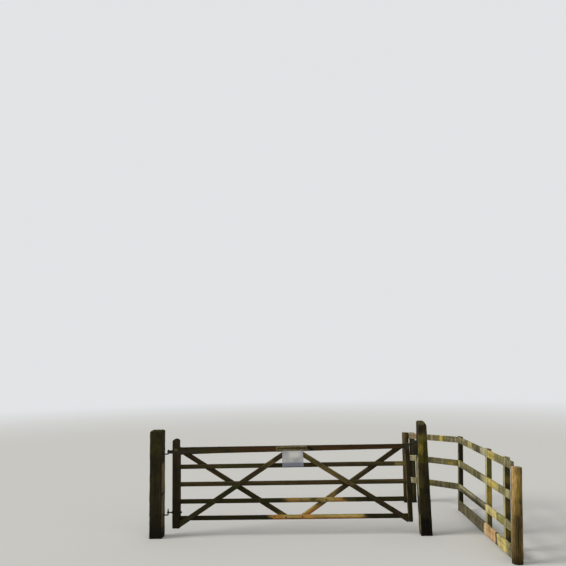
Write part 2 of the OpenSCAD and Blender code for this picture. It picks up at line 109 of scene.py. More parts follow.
def maths(tree, operation, *values, clamp=False):
    made = addNode(tree, "ShaderNodeMath", dict(enumerate(values)), operation=operation, use_clamp=clamp)
    return made.outputs[0]


def times(tree, total, *values, clamp=False):
    for value in values:
        total = maths(tree, "MULTIPLY", total, value, clamp=clamp)
    return total


def plus(tree, total, *values, clamp=False):
    for value in values:
        total = maths(tree, "ADD", total, value, clamp=clamp)
    return total


def vectorMaths(tree, operation, *values):
    made = addNode(tree, "ShaderNodeVectorMath", dict(enumerate(values)), operation=operation)
    return made.outputs["Value" if operation == "LENGTH" else "Vector"]


def stretched(tree, vector, scale):
    return vectorMaths(tree, "MULTIPLY", vector, scale)


def partsOf(tree, vector):
    return addNode(tree, "ShaderNodeSeparateXYZ", {0: vector}).outputs


def vectorOf(tree, *parts):
    return addNode(tree, "ShaderNodeCombineXYZ", dict(enumerate(parts))).outputs[0]


def placeOf(tree):
    return addNode(tree, "ShaderNodeTexCoord").outputs["Object"]


def meshMark(tree, name):  # one of the marks that the meshes carry
    return addNode(tree, "ShaderNodeAttribute", attribute_name=name).outputs["Vector"]


def smooth(tree, value, low, high, least=0.0, most=1.0):  # an eased step from low to high
    inputs = dict(enumerate((value, low, high, least, most)))
    return addNode(tree, "ShaderNodeMapRange", inputs, interpolation_type="SMOOTHSTEP").outputs[0]


def cloud(tree, vector, scale, detail=2.0, rough=0.5):  # a noise around one half
    inputs = {"Vector": vector, "Scale": scale, "Detail": detail, "Roughness": rough}
    return addNode(tree, "ShaderNodeTexNoise", inputs).outputs[0]


def mixed(tree, factor, first, second, blend="MIX"):
    inputs = {0: factor, 6: first, 7: second}
    return addNode(tree, "ShaderNodeMix", inputs, data_type="RGBA", blend_type=blend).outputs[2]


def spread(tree, value, colours, first=0.25, last=0.75):  # colours laid out evenly along a value
    made = addNode(tree, "ShaderNodeValToRGB", {0: value})
    stops = made.color_ramp.elements
    while len(stops) < len(colours):
        stops.new((first + last) / 2)
    for place, colour in enumerate(colours):
        stops[place].position = first + (last - first) * place / (len(colours) - 1)
        stops[place].color = colour
    return made.outputs[0]


def addBump(tree, shader, height, strength, distance):
    inputs = {"Strength": strength, "Distance": distance * mm, "Height": height}
    plug(tree, addNode(tree, "ShaderNodeBump", inputs).outputs[0], shader.inputs["Normal"])


def newGroup(name, inputs, outputs):
    tree = bpy.data.node_groups.new(name, "ShaderNodeTree")
    for title, value in inputs.items():
        socket = tree.interface.new_socket(title, in_out="INPUT", socket_type="NodeSocketFloat")
        socket.default_value = value
    for title in outputs:
        tree.interface.new_socket(title, in_out="OUTPUT", socket_type="NodeSocketFloat")
    return tree, tree.nodes.new("NodeGroupInput").outputs, tree.nodes.new("NodeGroupOutput").inputs


def placeGroup(tree, group, values):
    made = tree.nodes.new("ShaderNodeGroup")
    made.node_tree = bpy.data.node_groups[group]
    for key, value in values.items():
        plug(tree, value, made.inputs[key])
    return made.outputs


# Shared surface effects: stretches are along and across the grain, steps are where a mask starts and ends
timberFigure = {
    "swing": (1.1, 7, 7), "knotCell": (2.1, 7.5, 7.5), "knotShape": (0.8, 1, 0), "knotLeast": 0.25,
    "knotRim": (1.25, 0.8), "bulge": 0.014, "bulgeReach": 0.03, "ringRise": (0.3, 0.85),
    "ringFall": (1.0, 0.93), "fibre": (6, 340, 340), "fibreStep": (0.3, 0.7), "streak": (1.5, 46, 46),
    "streakDetail": (3.0, 0.62), "ringRelief": 0.45, "fibreRelief": 0.35, "knotRelief": 0.5,
}


def buildTimberFigure(look):  # rings round a pith, knots, long fibres and streaks, in the board's own grain
    inputs = {"Ring Spacing": 0.004, "Waver": 0.012, "Knot Size": 0.011}
    outputs = ("Rings", "Fibre", "Streak", "Knots", "Relief")
    tree, given, result = newGroup("timberFigure", inputs, outputs)
    grain = meshMark(tree, "grain")
    inputs = {"Vector": stretched(tree, grain, look["swing"]), "Scale": 1.0, "Detail": 1.0}
    slow = addNode(tree, "ShaderNodeTexNoise", inputs).outputs["Color"]
    swing = vectorMaths(tree, "SUBTRACT", slow, (0.5, 0.5, 0.5))
    waver = vectorOf(tree, given["Waver"], given["Waver"], given["Waver"])
    bent = vectorMaths(tree, "ADD", grain, stretched(tree, swing, waver))
    inputs = {"Vector": stretched(tree, grain, look["knotCell"]), "Scale": 1.0}
    cells = addNode(tree, "ShaderNodeTexVoronoi", inputs, voronoi_dimensions="2D").outputs
    centre = vectorMaths(tree, "DIVIDE", cells["Position"], look["knotCell"])
    apart = stretched(tree, vectorMaths(tree, "SUBTRACT", bent, centre), look["knotShape"])
    away = vectorMaths(tree, "LENGTH", apart)
    lot = addNode(tree, "ShaderNodeSeparateColor", {0: cells["Color"]}).outputs[0]
    size = times(tree, given["Knot Size"], plus(tree, lot, look["knotLeast"]))
    knots = smooth(tree, away, *(times(tree, size, share) for share in look["knotRim"]))
    far = maths(tree, "POWER", maths(tree, "DIVIDE", away, look["bulgeReach"]), 2.0)
    near = maths(tree, "EXPONENT", times(tree, far, -1.0))
    across = vectorMaths(tree, "LENGTH", stretched(tree, bent, (0, 1, 1)))
    ringAt = plus(tree, across, times(tree, near, look["bulge"]))
    turn = maths(tree, "FRACT", maths(tree, "DIVIDE", ringAt, given["Ring Spacing"]))
    rings = times(tree, smooth(tree, turn, *look["ringRise"]), smooth(tree, turn, *look["ringFall"]))
    fibre = smooth(tree, cloud(tree, stretched(tree, grain, look["fibre"]), 1.0), *look["fibreStep"])
    streak = cloud(tree, stretched(tree, bent, look["streak"]), 1.0, *look["streakDetail"])
    fine = plus(tree, times(tree, fibre, look["fibreRelief"]), times(tree, knots, look["knotRelief"]))
    relief = plus(tree, times(tree, rings, look["ringRelief"]), fine)
    for title, value in zip(outputs, (rings, fibre, streak, knots, relief)):
        plug(tree, value, result[title])


algaeBloom = {
    "broadDetail": (4.0, 0.62), "fine": (60.0, 3.0, 0.6), "fineShare": 0.22, "upShare": 0.16,
    "markedShare": 0.35, "amountShare": 0.5, "step": (0.72, 1.02),
    "speckle": 210.0, "speckleStep": (0.42, 0.62),
}


def buildAlgaeBloom(look):  # green growth in patches, thicker on what faces up and where a board is marked
    tree, given, result = newGroup("algaeBloom", {"Amount": 0.4, "Patch Scale": 3.0}, ("Mask", "Speckle"))
    place = placeOf(tree)
    up = partsOf(tree, addNode(tree, "ShaderNodeNewGeometry").outputs["Normal"])[2]
    broad = cloud(tree, place, given["Patch Scale"], *look["broadDetail"])
    fine = cloud(tree, place, *look["fine"])
    marked = partsOf(tree, meshMark(tree, "patches"))[0]
    total = plus(tree, broad, times(tree, fine, look["fineShare"]),
        times(tree, maths(tree, "MAXIMUM", up, 0.0), look["upShare"]),
        times(tree, marked, look["markedShare"]), times(tree, given["Amount"], look["amountShare"]))
    plug(tree, smooth(tree, total, *look["step"]), result["Mask"])
    plug(tree, smooth(tree, cloud(tree, place, look["speckle"]), *look["speckleStep"]), result["Speckle"])


wearMarks = {
    "rub": (24.0, 3.0, 0.6), "rubStep": (0.35, 0.65), "blot": (5.0, 5.0, 0.7), "grimeStep": (0.42, 0.68),
    "footLeast": 0.5,
}


def buildWearMarks(look):  # worn arrises, cracks darkened by their depth, end cuts, and a post darkened towards its foot
    outputs = ("Edge", "Crack", "End Cut", "Foot", "Grime")
    tree, given, result = newGroup("wearMarks", {"Edge Wear": 0.6, "Foot Height": 0.2}, outputs)
    place = placeOf(tree)
    edge, crack, endCut = partsOf(tree, meshMark(tree, "marks"))
    rub = smooth(tree, cloud(tree, place, *look["rub"]), *look["rubStep"])
    blot = cloud(tree, place, *look["blot"])
    reach = times(tree, given["Foot Height"], plus(tree, blot, look["footLeast"]))
    plug(tree, times(tree, edge, given["Edge Wear"], rub), result["Edge"])
    plug(tree, crack, result["Crack"])
    plug(tree, endCut, result["End Cut"])
    plug(tree, smooth(tree, partsOf(tree, place)[2], reach, 0.0), result["Foot"])
    plug(tree, smooth(tree, blot, *look["grimeStep"]), result["Grime"])


rainRuns = {
    "waver": 30.0, "across": 2.5, "maskDetail": (2.0, 0.6), "maskStep": (0.47, 0.6),
    "toneStretch": (0.6, 1, 1), "toneShift": (7.3, 2.1, 4.4), "toneStep": (0.42, 0.58),
}


def buildRunsAndDapples(look):  # stripes across a board, each in its own tone: partly rain runs, partly painted sun flecks between the shadows of twigs
    tree, given, result = newGroup("rainRuns", {"Runs": 22.0, "Wander": 0.5}, ("Mask", "Tone"))
    grain = meshMark(tree, "grain")
    along, high, wide = partsOf(tree, grain)
    waver = times(tree, maths(tree, "SUBTRACT", cloud(tree, grain, look["waver"]), 0.5), given["Wander"])
    run = vectorOf(tree, plus(tree, times(tree, along, given["Runs"]), waver),
        times(tree, high, look["across"]), times(tree, wide, look["across"]))
    plug(tree, smooth(tree, cloud(tree, run, 1.0, *look["maskDetail"]), *look["maskStep"]), result["Mask"])
    other = vectorMaths(tree, "ADD", stretched(tree, run, look["toneStretch"]), look["toneShift"])
    plug(tree, smooth(tree, cloud(tree, other, 1.0, 1.0), *look["toneStep"]), result["Tone"])


rustFilm = {
    "broad": (16.0, 5.0, 0.65), "pits": (260.0, 3.0, 0.6), "pitShare": 0.2, "amountShare": 0.5,
    "step": (0.68, 0.98), "tone": (70.0, 3.0), "toneStep": (0.3, 0.7), "pitLeast": 0.25,
}


def buildRustFilm(look):  # old zinc worn through to rust
    tree, given, result = newGroup("rustFilm", {"Amount": 0.5}, ("Mask", "Tone", "Relief"))
    place = placeOf(tree)
    broad, pits = cloud(tree, place, *look["broad"]), cloud(tree, place, *look["pits"])
    total = plus(tree, broad, times(tree, pits, look["pitShare"]),
        times(tree, given["Amount"], look["amountShare"]))
    mask = smooth(tree, total, *look["step"])
    plug(tree, mask, result["Mask"])
    plug(tree, smooth(tree, cloud(tree, place, *look["tone"]), *look["toneStep"]), result["Tone"])
    plug(tree, times(tree, pits, plus(tree, mask, look["pitLeast"])), result["Relief"])


buildTimberFigure(timberFigure)
buildAlgaeBloom(algaeBloom)
buildWearMarks(wearMarks)
buildRunsAndDapples(rainRuns)
buildRustFilm(rustFilm)
print("surface effects built")


# Materials
def newMaterial(name):
    material = bpy.data.materials.new(name)
    material.use_nodes = True
    return material, material.node_tree, material.node_tree.nodes["Principled BSDF"]


timberFinish = {  # what all the timbers share
    "clearing": 0.8, "runLeast": 0.3, "runClear": 0.3, "streakStep": (0.3, 0.58, 0.4, 1.0), "ringShade": 0.25,
    "knots": 0.75, "ends": 0.55, "foot": 0.75, "cracks": 0.9, "dirtLeast": 0.5, "dirtClear": 0.5,
    "ringGloss": 0.1, "growthRough": 0.08, "growthRelief": 0.5, "bump": 0.75, "specular": 0.1,
}


def timberMaterial(name, look):
    material, tree, shader = newMaterial(name)
    share = timberFinish
    figure = placeGroup(tree, "timberFigure",
        {"Ring Spacing": look["rings"] * mm, "Waver": look["waver"] * mm, "Knot Size": look["knot"] * mm})
    algae = placeGroup(tree, "algaeBloom", {"Amount": look["algae"], "Patch Scale": look["patch"]})
    worn = placeGroup(tree, "wearMarks", {"Edge Wear": look["wear"], "Foot Height": look["foot"]})
    green, bare, tone = partsOf(tree, meshMark(tree, "patches"))
    gold, red, orange = partsOf(tree, meshMark(tree, "stains"))
    stainedAndSunlit = maths(tree, "MAXIMUM", bare, plus(tree, gold, red))
    clear = maths(tree, "SUBTRACT", 1.0, times(tree, share["clearing"], stainedAndSunlit), clamp=True)

    def laid(wood, mask, colour, blend="MIX"):  # one more of the look's colours, laid where the mask is
        return mixed(tree, mask, wood, seen(*look[colour]), blend)

    wood = spread(tree, figure["Streak"], [seen(*c) for c in look["wood"]])
    wood = laid(wood, times(tree, figure["Rings"], look["ringDepth"]), "ring", "MULTIPLY")
    wood = laid(wood, times(tree, figure["Fibre"], look["silvering"]), "silver")
    # Pale and golden stripes across a board: partly rain runs, partly painted sun flecks and twig shadows.
    if "runs" in look:
        runs = placeGroup(tree, "rainRuns", {"Runs": look["runs"], "Wander": look["runWander"]})
        runTone = mixed(tree, runs["Tone"], seen(*look["stripePale"]), seen(*look["stripeGold"]))
        runShare = plus(tree, share["runLeast"], times(tree, clear, share["runClear"]))
        wood = mixed(tree, times(tree, runs["Mask"], runShare), wood, runTone)
    streaky = maths(tree, "SUBTRACT", smooth(tree, figure["Streak"], *share["streakStep"]),
        times(tree, figure["Rings"], share["ringShade"]))
    # Red, golden, orange and bare-and-lit stretches: partly stains and bare wood, partly painted sunlight on
    # lit faces and in sun flecks.
    for stainAndLight, colour in ((red, "red"), (gold, "gold"), (orange, "orange"), (bare, "bare")):
        wood = laid(wood, times(tree, stainAndLight, streaky, clamp=True), colour)
    wood = laid(wood, times(tree, figure["Knots"], share["knots"]), "knotTone")
    dirty = plus(tree, share["dirtLeast"], times(tree, clear, share["dirtClear"]))
    wood = laid(wood, times(tree, worn["Grime"], times(tree, look["grime"], dirty)), "dirt")
    wood = laid(wood, worn["Edge"], "silver")
    wood = laid(wood, times(tree, worn["End Cut"], share["ends"]), "endTone")
    bloom = mixed(tree, algae["Speckle"], seen(*look["bloom"]), seen(*look["bloomLight"]))
    growth = times(tree, algae["Mask"], look["cover"], clear)
    wood = mixed(tree, growth, wood, bloom)
    wood = laid(wood, times(tree, worn["Foot"], share["foot"]), "dirt")
    wood = laid(wood, times(tree, worn["Crack"], share["cracks"]), "deep")
    # The tone mark darkens or lightens the colour. Much of it is painted shade (below 1) and painted light
    # (above 1), from the tone stretches, each board's shade across it and each piece's tone.
    shade = vectorOf(tree, tone, tone, tone)
    plug(tree, mixed(tree, 1.0, wood, shade, "MULTIPLY"), shader.inputs["Base Color"])
    rough = maths(tree, "SUBTRACT", look["rough"], times(tree, figure["Rings"], share["ringGloss"]))
    rough = plus(tree, rough, times(tree, growth, share["growthRough"]), clamp=True)
    plug(tree, rough, shader.inputs["Roughness"])
    crust = times(tree, algae["Speckle"], algae["Mask"], share["growthRelief"])
    addBump(tree, shader, plus(tree, figure["Relief"], crust), share["bump"], look["relief"])
    shader.inputs["Specular IOR Level"].default_value = share["specular"]
    return material


# The leaf's colours are kept dark: partly the weathered wood's own colour, partly painted shade.
leafWoodLook = {
    "wood": ((28, 22, 10), (50, 41, 20), (78, 64, 36)), "ring": (122, 98, 72), "silver": (92, 81, 52),
    "bare": (150, 140, 92), "gold": (180, 156, 88), "red": (66, 39, 15), "orange": (164, 102, 36),
    "knotTone": (26, 18, 9), "dirt": (25, 22, 11), "endTone": (54, 45, 26),
    "bloom": (36, 40, 14), "bloomLight": (62, 65, 25),
    "deep": (8, 6, 3), "rings": 3.6, "waver": 14.0, "knot": 9.0, "ringDepth": 0.5, "silvering": 0.26,
    "grime": 0.45, "algae": 0.24, "patch": 3.4, "cover": 0.6, "wear": 0.3, "foot": 0.02, "rough": 0.84,
    "relief": 0.8,
}
# The gate posts' colours are kept dark: partly their own colour, partly painted shade.
gatePostLook = {
    "wood": ((26, 22, 10), (48, 40, 19), (80, 68, 38)), "ring": (120, 104, 74), "silver": (98, 89, 58),
    "bare": (172, 158, 110), "gold": (136, 120, 48), "red": (84, 58, 30), "orange": (120, 84, 40),
    "knotTone": (26, 20, 10),
    "dirt": (18, 16, 8), "endTone": (60, 53, 32), "bloom": (45, 46, 15), "bloomLight": (104, 98, 33),
    "deep": (8, 7, 3), "rings": 3.2, "waver": 20.0, "knot": 14.0, "ringDepth": 0.45, "silvering": 0.26,
    "grime": 0.5, "algae": 0.16, "patch": 2.6, "cover": 0.8, "wear": 0.35, "foot": 0.42, "rough": 0.86,
    "relief": 1.2,
}
# The pen posts' pale end cuts are a painted highlight, their tops lighter as if lit from above.
penPostLook = {
    "wood": ((54, 48, 28), (88, 80, 48), (122, 112, 72)), "ring": (140, 118, 84), "silver": (136, 128, 92),
    "bare": (196, 190, 148), "gold": (190, 158, 62), "red": (140, 100, 62), "orange": (170, 120, 60),
    "knotTone": (50, 37, 20),
    "dirt": (44, 39, 24), "endTone": (150, 142, 104), "bloom": (78, 80, 32), "bloomLight": (126, 120, 50),
    "deep": (20, 17, 10), "rings": 4.5, "waver": 12.0, "knot": 9.0, "ringDepth": 0.4, "silvering": 0.28,
    "grime": 0.45, "algae": 0.3, "patch": 4.5, "cover": 0.7, "wear": 0.5, "foot": 0.2, "rough": 0.84,
    "relief": 0.7,
}
# The round posts' pale end cuts are a painted highlight, their tops lighter as if lit from above.
roundPostLook = {
    "wood": ((48, 36, 14), (116, 93, 38), (176, 148, 76)), "ring": (132, 104, 62), "silver": (176, 152, 96),
    "bare": (214, 176, 122), "gold": (176, 144, 56), "red": (112, 72, 44), "orange": (190, 130, 52),
    "knotTone": (58, 40, 20),
    "dirt": (54, 43, 20), "endTone": (190, 160, 130), "bloom": (104, 92, 34), "bloomLight": (146, 130, 54),
    "deep": (22, 16, 8), "rings": 5.0, "waver": 16.0, "knot": 12.0, "ringDepth": 0.45, "silvering": 0.34,
    "grime": 0.5, "algae": 0.3, "patch": 4.0, "cover": 0.6, "wear": 0.4, "foot": 0.25, "rough": 0.85,
    "relief": 1.0,
}
# The pen rails' lighter colours are partly their own, partly painted sunlight.
penRailLook = {
    "wood": ((76, 69, 48), (112, 103, 76), (150, 140, 106)), "ring": (150, 138, 112),
    "silver": (160, 152, 122),
    "bare": (200, 192, 154), "gold": (198, 174, 76), "red": (206, 160, 112), "orange": (206, 140, 76),
    "knotTone": (66, 52, 34),
    "dirt": (58, 52, 36), "endTone": (120, 112, 84), "bloom": (106, 102, 42), "bloomLight": (150, 142, 62),
    "deep": (24, 21, 14), "rings": 4.8, "waver": 12.0, "knot": 10.0, "ringDepth": 0.35, "silvering": 0.3,
    "grime": 0.6, "algae": 0.16, "patch": 5.5, "cover": 0.7, "wear": 0.5, "foot": 0.03, "rough": 0.84,
    "relief": 0.7, "runs": 15.0, "runWander": 0.6, "stripePale": (170, 164, 126),
    "stripeGold": (150, 138, 58),
}
plaqueLook = dict(leafWoodLook, **{
    "wood": ((40, 31, 17), (54, 42, 24), (68, 54, 32)), "silver": (168, 156, 108), "algae": 0.0, "grime": 0.2,
    "cover": 0.3, "rings": 2.6, "knot": 0.0, "ringDepth": 0.3, "silvering": 0.08, "wear": 0.3, "relief": 0.5,
    "bare": (150, 136, 92),
})


def ironMaterial(name, look):
    material, tree, shader = newMaterial(name)
    film = placeGroup(tree, "rustFilm", {"Amount": look["rust"]})
    zinc = mixed(tree, film["Tone"], seen(*look["dark"]), seen(*look["pale"]))
    rusty = mixed(tree, film["Tone"], seen(*look["rustDark"]), seen(*look["rustLight"]))
    plug(tree, mixed(tree, film["Mask"], zinc, rusty), shader.inputs["Base Color"])
    plug(tree, smooth(tree, film["Mask"], 0.0, 1.0, *look["metal"]), shader.inputs["Metallic"])
    plug(tree, smooth(tree, film["Mask"], 0.0, 1.0, *look["rough"]), shader.inputs["Roughness"])
    shader.inputs["Specular IOR Level"].default_value = look["specular"]
    addBump(tree, shader, film["Relief"], look["bump"], look["relief"])
    return material


ironLook = {
    "dark": (27, 26, 18), "pale": (45, 43, 30), "rustDark": (40, 29, 18), "rustLight": (72, 50, 31),
    "metal": (0.25, 0.03), "rough": (0.62, 0.88),  # of the zinc and of the rust
    "rust": 0.24, "specular": 0.25, "bump": 0.6, "relief": 0.5,
}
nailLook = dict(ironLook, rust=0.6, rough=(0.6, 0.88))


def pocketMaterial(name, look):  # clouded plastic over blank faded paper
    material, tree, shader = newMaterial(name)
    place = placeOf(tree)
    damp = smooth(tree, cloud(tree, place, *look["dampCloud"]), *look["dampStep"])
    specks = smooth(tree, cloud(tree, place, look["specks"]), *look["speckStep"])
    edge = partsOf(tree, meshMark(tree, "marks"))[0]
    # The low band is painted shade, darker and bluer where the rail lies behind the sheet; the light patch is
    # a painted pool of light.
    low, light = partsOf(tree, meshMark(tree, "patches"))[:2]
    paper = mixed(tree, damp, seen(*look["paper"]), seen(*look["faded"]))
    mould = times(tree, specks, look["speckCover"])
    for mask, colour in ((low, "low"), (light, "light"), (edge, "border"), (mould, "mould")):
        paper = mixed(tree, mask, paper, seen(*look[colour]))
    plug(tree, paper, shader.inputs["Base Color"])
    plug(tree, smooth(tree, damp, 0.0, 1.0, *look["rough"]), shader.inputs["Roughness"])
    addBump(tree, shader, cloud(tree, place, look["ripple"]), look["bump"], look["relief"])
    shader.inputs["Coat Weight"].default_value = look["coat"]
    shader.inputs["Coat Roughness"].default_value = look["coatRough"]
    return material


# low is painted shade over the rail behind the sheet, light a painted pool of light.
pocketLook = {
    "paper": (150, 152, 154), "faded": (172, 170, 168), "light": (206, 202, 193), "border": (120, 120, 124),
    "low": (103, 106, 120), "mould": (108, 106, 92), "dampCloud": (9.0, 4.0, 0.6), "dampStep": (0.36, 0.66),
    "specks": 120.0, "speckStep": (0.6, 0.72), "speckCover": 0.35, "rough": (0.32, 0.5), "ripple": 22.0,
    "bump": 0.5, "relief": 1.2, "coat": 0.35, "coatRough": 0.22,
}

leafWood = timberMaterial("leafWood", leafWoodLook)
gatePostWood = timberMaterial("gatePostWood", gatePostLook)
penPostWood = timberMaterial("penPostWood", penPostLook)
roundPostWood = timberMaterial("roundPostWood", roundPostLook)
penRailWood = timberMaterial("penRailWood", penRailLook)
plaqueWood = timberMaterial("plaqueWood", plaqueLook)
oldIron = ironMaterial("oldIron", ironLook)
rustyNail = ironMaterial("rustyNail", nailLook)
pocketPlastic = pocketMaterial("pocketPlastic", pocketLook)
print("materials built")


# Timber: every board and post is lofted along its grain from worn sections
quarterTurn = (0, 30, 60, 90)  # degrees at which a rounded edge has its points
endInsets = (0.97, 0.72, 0.45, 0.2)  # how near to the middle of an end its rings of points lie
crackClear = 6.5  # millimetres beside a crack with no other point


def hum(points, scale, shift):  # smooth noise from -1 to 1 at each point
    places = (np.asarray(points) * scale + shift).tolist()
    return np.array([noise.noise(p) for p in places])


def humOver(u, v, w, scale, shift):  # the same over a grid, from the three parts of its points
    points = np.stack(np.broadcast_arrays(u, v, w), -1)
    return hum(points.reshape(-1, 3), scale, shift).reshape(points.shape[:-1])


def sectionPoints(halfV, halfW, radius, spacing, cracks):
    # Each row: the place on the flats from -1 to 1, the outward normal, the way round, the crack and its part
    sides = (((1, 0), (0, -1)), ((0, 1), (1, 0)), ((-1, 0), (0, 1)), ((0, -1), (-1, 0)))
    rows = []
    for side, (way, out) in enumerate(sides):
        flat = max((halfV if way[0] else halfW) - radius, 0.1 * mm)
        count = max(2, round(2 * flat / spacing)) if flat > mm else 0
        here = [(i, crack) for i, crack in enumerate(cracks) if crack["side"] == side]
        spots = [(-1 + 2 * (i + 0.5) / count, -1, 0) for i in range(count)]
        spots = [s for s in spots if all(abs(s[0] - c["at"]) * flat > crackClear * mm for i, c in here)]
        spots += [(c["at"], i, part) for i, c in here for part in (-1, 0, 1)]
        for at, crack, part in sorted(spots, key=lambda s: (s[0], s[2])):
            flatPlace = (out[0] + way[0] * at, out[1] + way[1] * at)
            rows.append((*flatPlace, *out, *way, crack, part, 0))
        for turn in np.radians(quarterTurn):
            normal = [o * math.cos(turn) + w * math.sin(turn) for o, w in zip(out, way)]
            tangent = (-normal[1], normal[0])
            rows.append((out[0] + way[0], out[1] + way[1], *normal, *tangent, -1, 0, side + 1))
    return np.array(rows, float)


def circlePoints(count, cracks):  # rows as above, for a round post
    whole = 2 * math.pi
    clear = 1.2 * whole / count
    turns = [whole * i / count for i in range(count)]
    rows = [(turn, -1, 0) for turn in turns
        if all(abs((turn - c["at"] + math.pi) % whole - math.pi) > clear for c in cracks)]
    rows += [(c["at"] % whole, i, part) for i, c in enumerate(cracks) for part in (-1, 0, 1)]
    rows.sort(key=lambda r: (r[0], r[2]))
    return np.array([(0, 0, math.cos(turn), math.sin(turn), -math.sin(turn), math.cos(turn), crack, part, 0)
        for turn, crack, part in rows], float)


def crackDepth(crack, u):  # opens and closes along the grain
    place = (u - crack["from"]) / (crack["to"] - crack["from"])
    swell = np.clip(np.minimum(place, 1 - place) * 5, 0, 1)
    return crack["depth"] * swell * (0.75 + 0.5 * humOver(u, 0, 0, 9.0, crack["from"] * 7))


def endRows(turnOver, deepest):  # insets and setbacks from the middle of an end to the sides
    rows = [(turnOver + f * (deepest - turnOver), 0.0, 1.0) for f in endInsets]
    for turn in np.radians(quarterTurn):
        rows.append((turnOver * (1 - math.sin(turn)), turnOver * (1 - math.cos(turn)), 1 - math.sin(turn)))
    return rows


def smoothFaces(mesh, sharpFrom=None):  # sharpFrom is the angle in degrees from which an edge stays sharp
    mesh.polygons.foreach_set("use_smooth", [True] * len(mesh.polygons))
    if sharpFrom:
        mesh.set_sharp_from_angle(angle=math.radians(sharpFrom))


def gridMesh(name, points):  # rows of rings, with the first and the last ring closed
    rows, count = points.shape[:2]
    index = np.arange(rows * count).reshape(rows, count)
    nextPoint = np.roll(index, -1, axis=1)
    quads = np.stack([index[:-1], nextPoint[:-1], nextPoint[1:], index[1:]], -1).reshape(-1, 4)
    mesh = bpy.data.meshes.new(name)
    mesh.from_pydata(points.reshape(-1, 3).tolist(), [], quads.tolist()
        + [index[0][::-1].tolist(), index[-1].tolist()])
    shell = bmesh.new()
    shell.from_mesh(mesh)
    bmesh.ops.recalc_face_normals(shell, faces=shell.faces[:])
    shell.to_mesh(mesh)
    shell.free()
    smoothFaces(mesh)
    return mesh


def setMark(mesh, name, values):
    if name not in mesh.attributes:
        mesh.attributes.new(name, "FLOAT_VECTOR", "POINT")
    mesh.attributes[name].data.foreach_set("vector", np.asarray(values, np.float32).ravel())


def addPiece(name, mesh, body, slot, material, *nodes):
    piece = linked(name, mesh)
    mesh.materials.append(material)
    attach(piece, body)
    if nodes:
        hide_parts(*nodes)
    return piece


# A stretch of a piece, in metres from its foot or start; over is from -1 at its low edge to 1 at its high one
def patch(kind, first, last, strength, facing=None, over=(-2, 2), soft=0.02):
    return {"kind": kind, "span": (first, last), "strength": strength, "facing": facing, "over": over,
        "soft": soft}


def within(values, low, high, soft):  # 1 between two values, with soft ends
    return 0.5 * (np.tanh((values - low) / soft) - np.tanh((values - high) / soft))


stains = {  # how the edges of the patches wander, as noise scales with their strengths
    "kinds": ("green", "bare", "gold", "red", "orange"), "fadeAt": (-1, -0.6, 0.6, 1),
    "waver": (9, 9, 1), "waverBy": 0.03, "ragged": (16, 48, 48), "raggedEdge": 3.2, "raggedInside": 0.35,
    "softOver": 0.15, "bands": (34, 1, 1),
}


def patchMarks(along, over, normals, local, look):  # how green, bare and lit, golden, red and orange each point is, and its tone; the lit faces, the golden and orange stretches and much of the tone are painted light and shade
    seed = look["seed"]
    kinds = {kind: np.full(along.shape, float(look.get(kind, 0))) for kind in stains["kinds"]}
    # Each board's tone from its low edge to its high one is painted light and shade.
    tone = look.get("tone", 1.0) * np.interp(over, stains["fadeAt"], look.get("fade", (1, 1, 1, 1)))
    waver = stains["waverBy"] * humOver(along, over * 0.1, 0, stains["waver"], seed)
    ragged = hum(local.reshape(-1, 3), stains["ragged"], seed + 9).reshape(along.shape)
    slanted = along + waver + look.get("slant", 0.0) * over
    for each in look.get("patches", ()):
        near = within(slanted, *each["span"], each["soft"]) * within(over, *each["over"], stains["softOver"])
        if each["facing"]:
            near = near * np.clip(normals @ np.array(each["facing"]), 0, 1)
        frayed = stains["raggedEdge"] * near * (1 - near) + stains["raggedInside"] * near
        near = np.clip(near + ragged * frayed, 0, 1)
        # Tone stretches are mostly painted shade where they are below 1, and painted light where they are
        # above 1.
        if each["kind"] == "tone":
            tone = tone * (1 + (each["strength"] - 1) * near)
        else:
            kinds[each["kind"]] = np.maximum(kinds[each["kind"]], near * each["strength"])
    # Bands of lighter and darker tone along a board: painted dappled light and shade.
    tone = tone * (1 + look.get("bands", 0.0) * humOver(along, over * 0.05, 0, stains["bands"], seed + 7))
    first = np.stack([kinds["green"], np.clip(kinds["bare"], 0, 1), tone], -1)
    return first, np.stack([kinds["gold"], kinds["red"], kinds["orange"]], -1)


def cracksAlong(look, uLow, uHigh):  # the look's cracks, placed along a piece
    placedCracks = []
    for crack in look.get("cracks", ()):
        first, last = (uLow + (uHigh - uLow) * share for share in crack["span"])
        placedCracks.append(dict(crack, **{"from": first, "to": last, "depth": crack["deep"] * mm}))
    return placedCracks


def rowsAlong(blank, look, sizes, uLow, uHigh):  # for each ring: its share along, inset, setback, cap and end
    ends = []
    for u in (uLow, uHigh):
        v0, v1, w0, w1 = sizes(u)
        ends.append(endRows(look["endRadius"] * mm, 0.49 * min(v1 - v0, w1 - w0)))
    count = max(4, math.ceil((uHigh - uLow) / (look["step"] * mm)))
    inner = np.linspace(0, 1, count + 1)[1:-1]
    stops = [(s - uLow) / (uHigh - uLow) for s in blank.get("stops", ())]
    inner = np.unique(np.concatenate([inner, stops]))
    rows = [(0.0, *row, -1) for row in ends[0]] + [(t, 0.0, 0.0, 0.0, 0) for t in inner]
    rows += [(1.0, *row, 1) for row in reversed(ends[1])]
    return [np.array(c)[:, None] for c in zip(*rows)]


weather = {  # how fine each kind of wear is, along the grain and twice across it
    "rough": (9, 38, 38), "ridge": (2.0, 150, 150), "chip": (13, 5, 1), "chipLeast": 0.05,
    "endRough": (30, 70, 70), "drift": 3.0, "driftBy": 2.0, "crackLip": 0.25, "crackSplay": 0.16,
    "crackDark": 5.0, "bow": 0.6,
    "edgeReach": 5.0, "endHold": 0.6, "pieceShift": 1.7,
}


def grainMark(local, look):  # where each point lies in the tree that the piece was sawn from
    return local + np.array(look["pith"]) + np.array([look["seed"] * weather["pieceShift"], 0, 0])


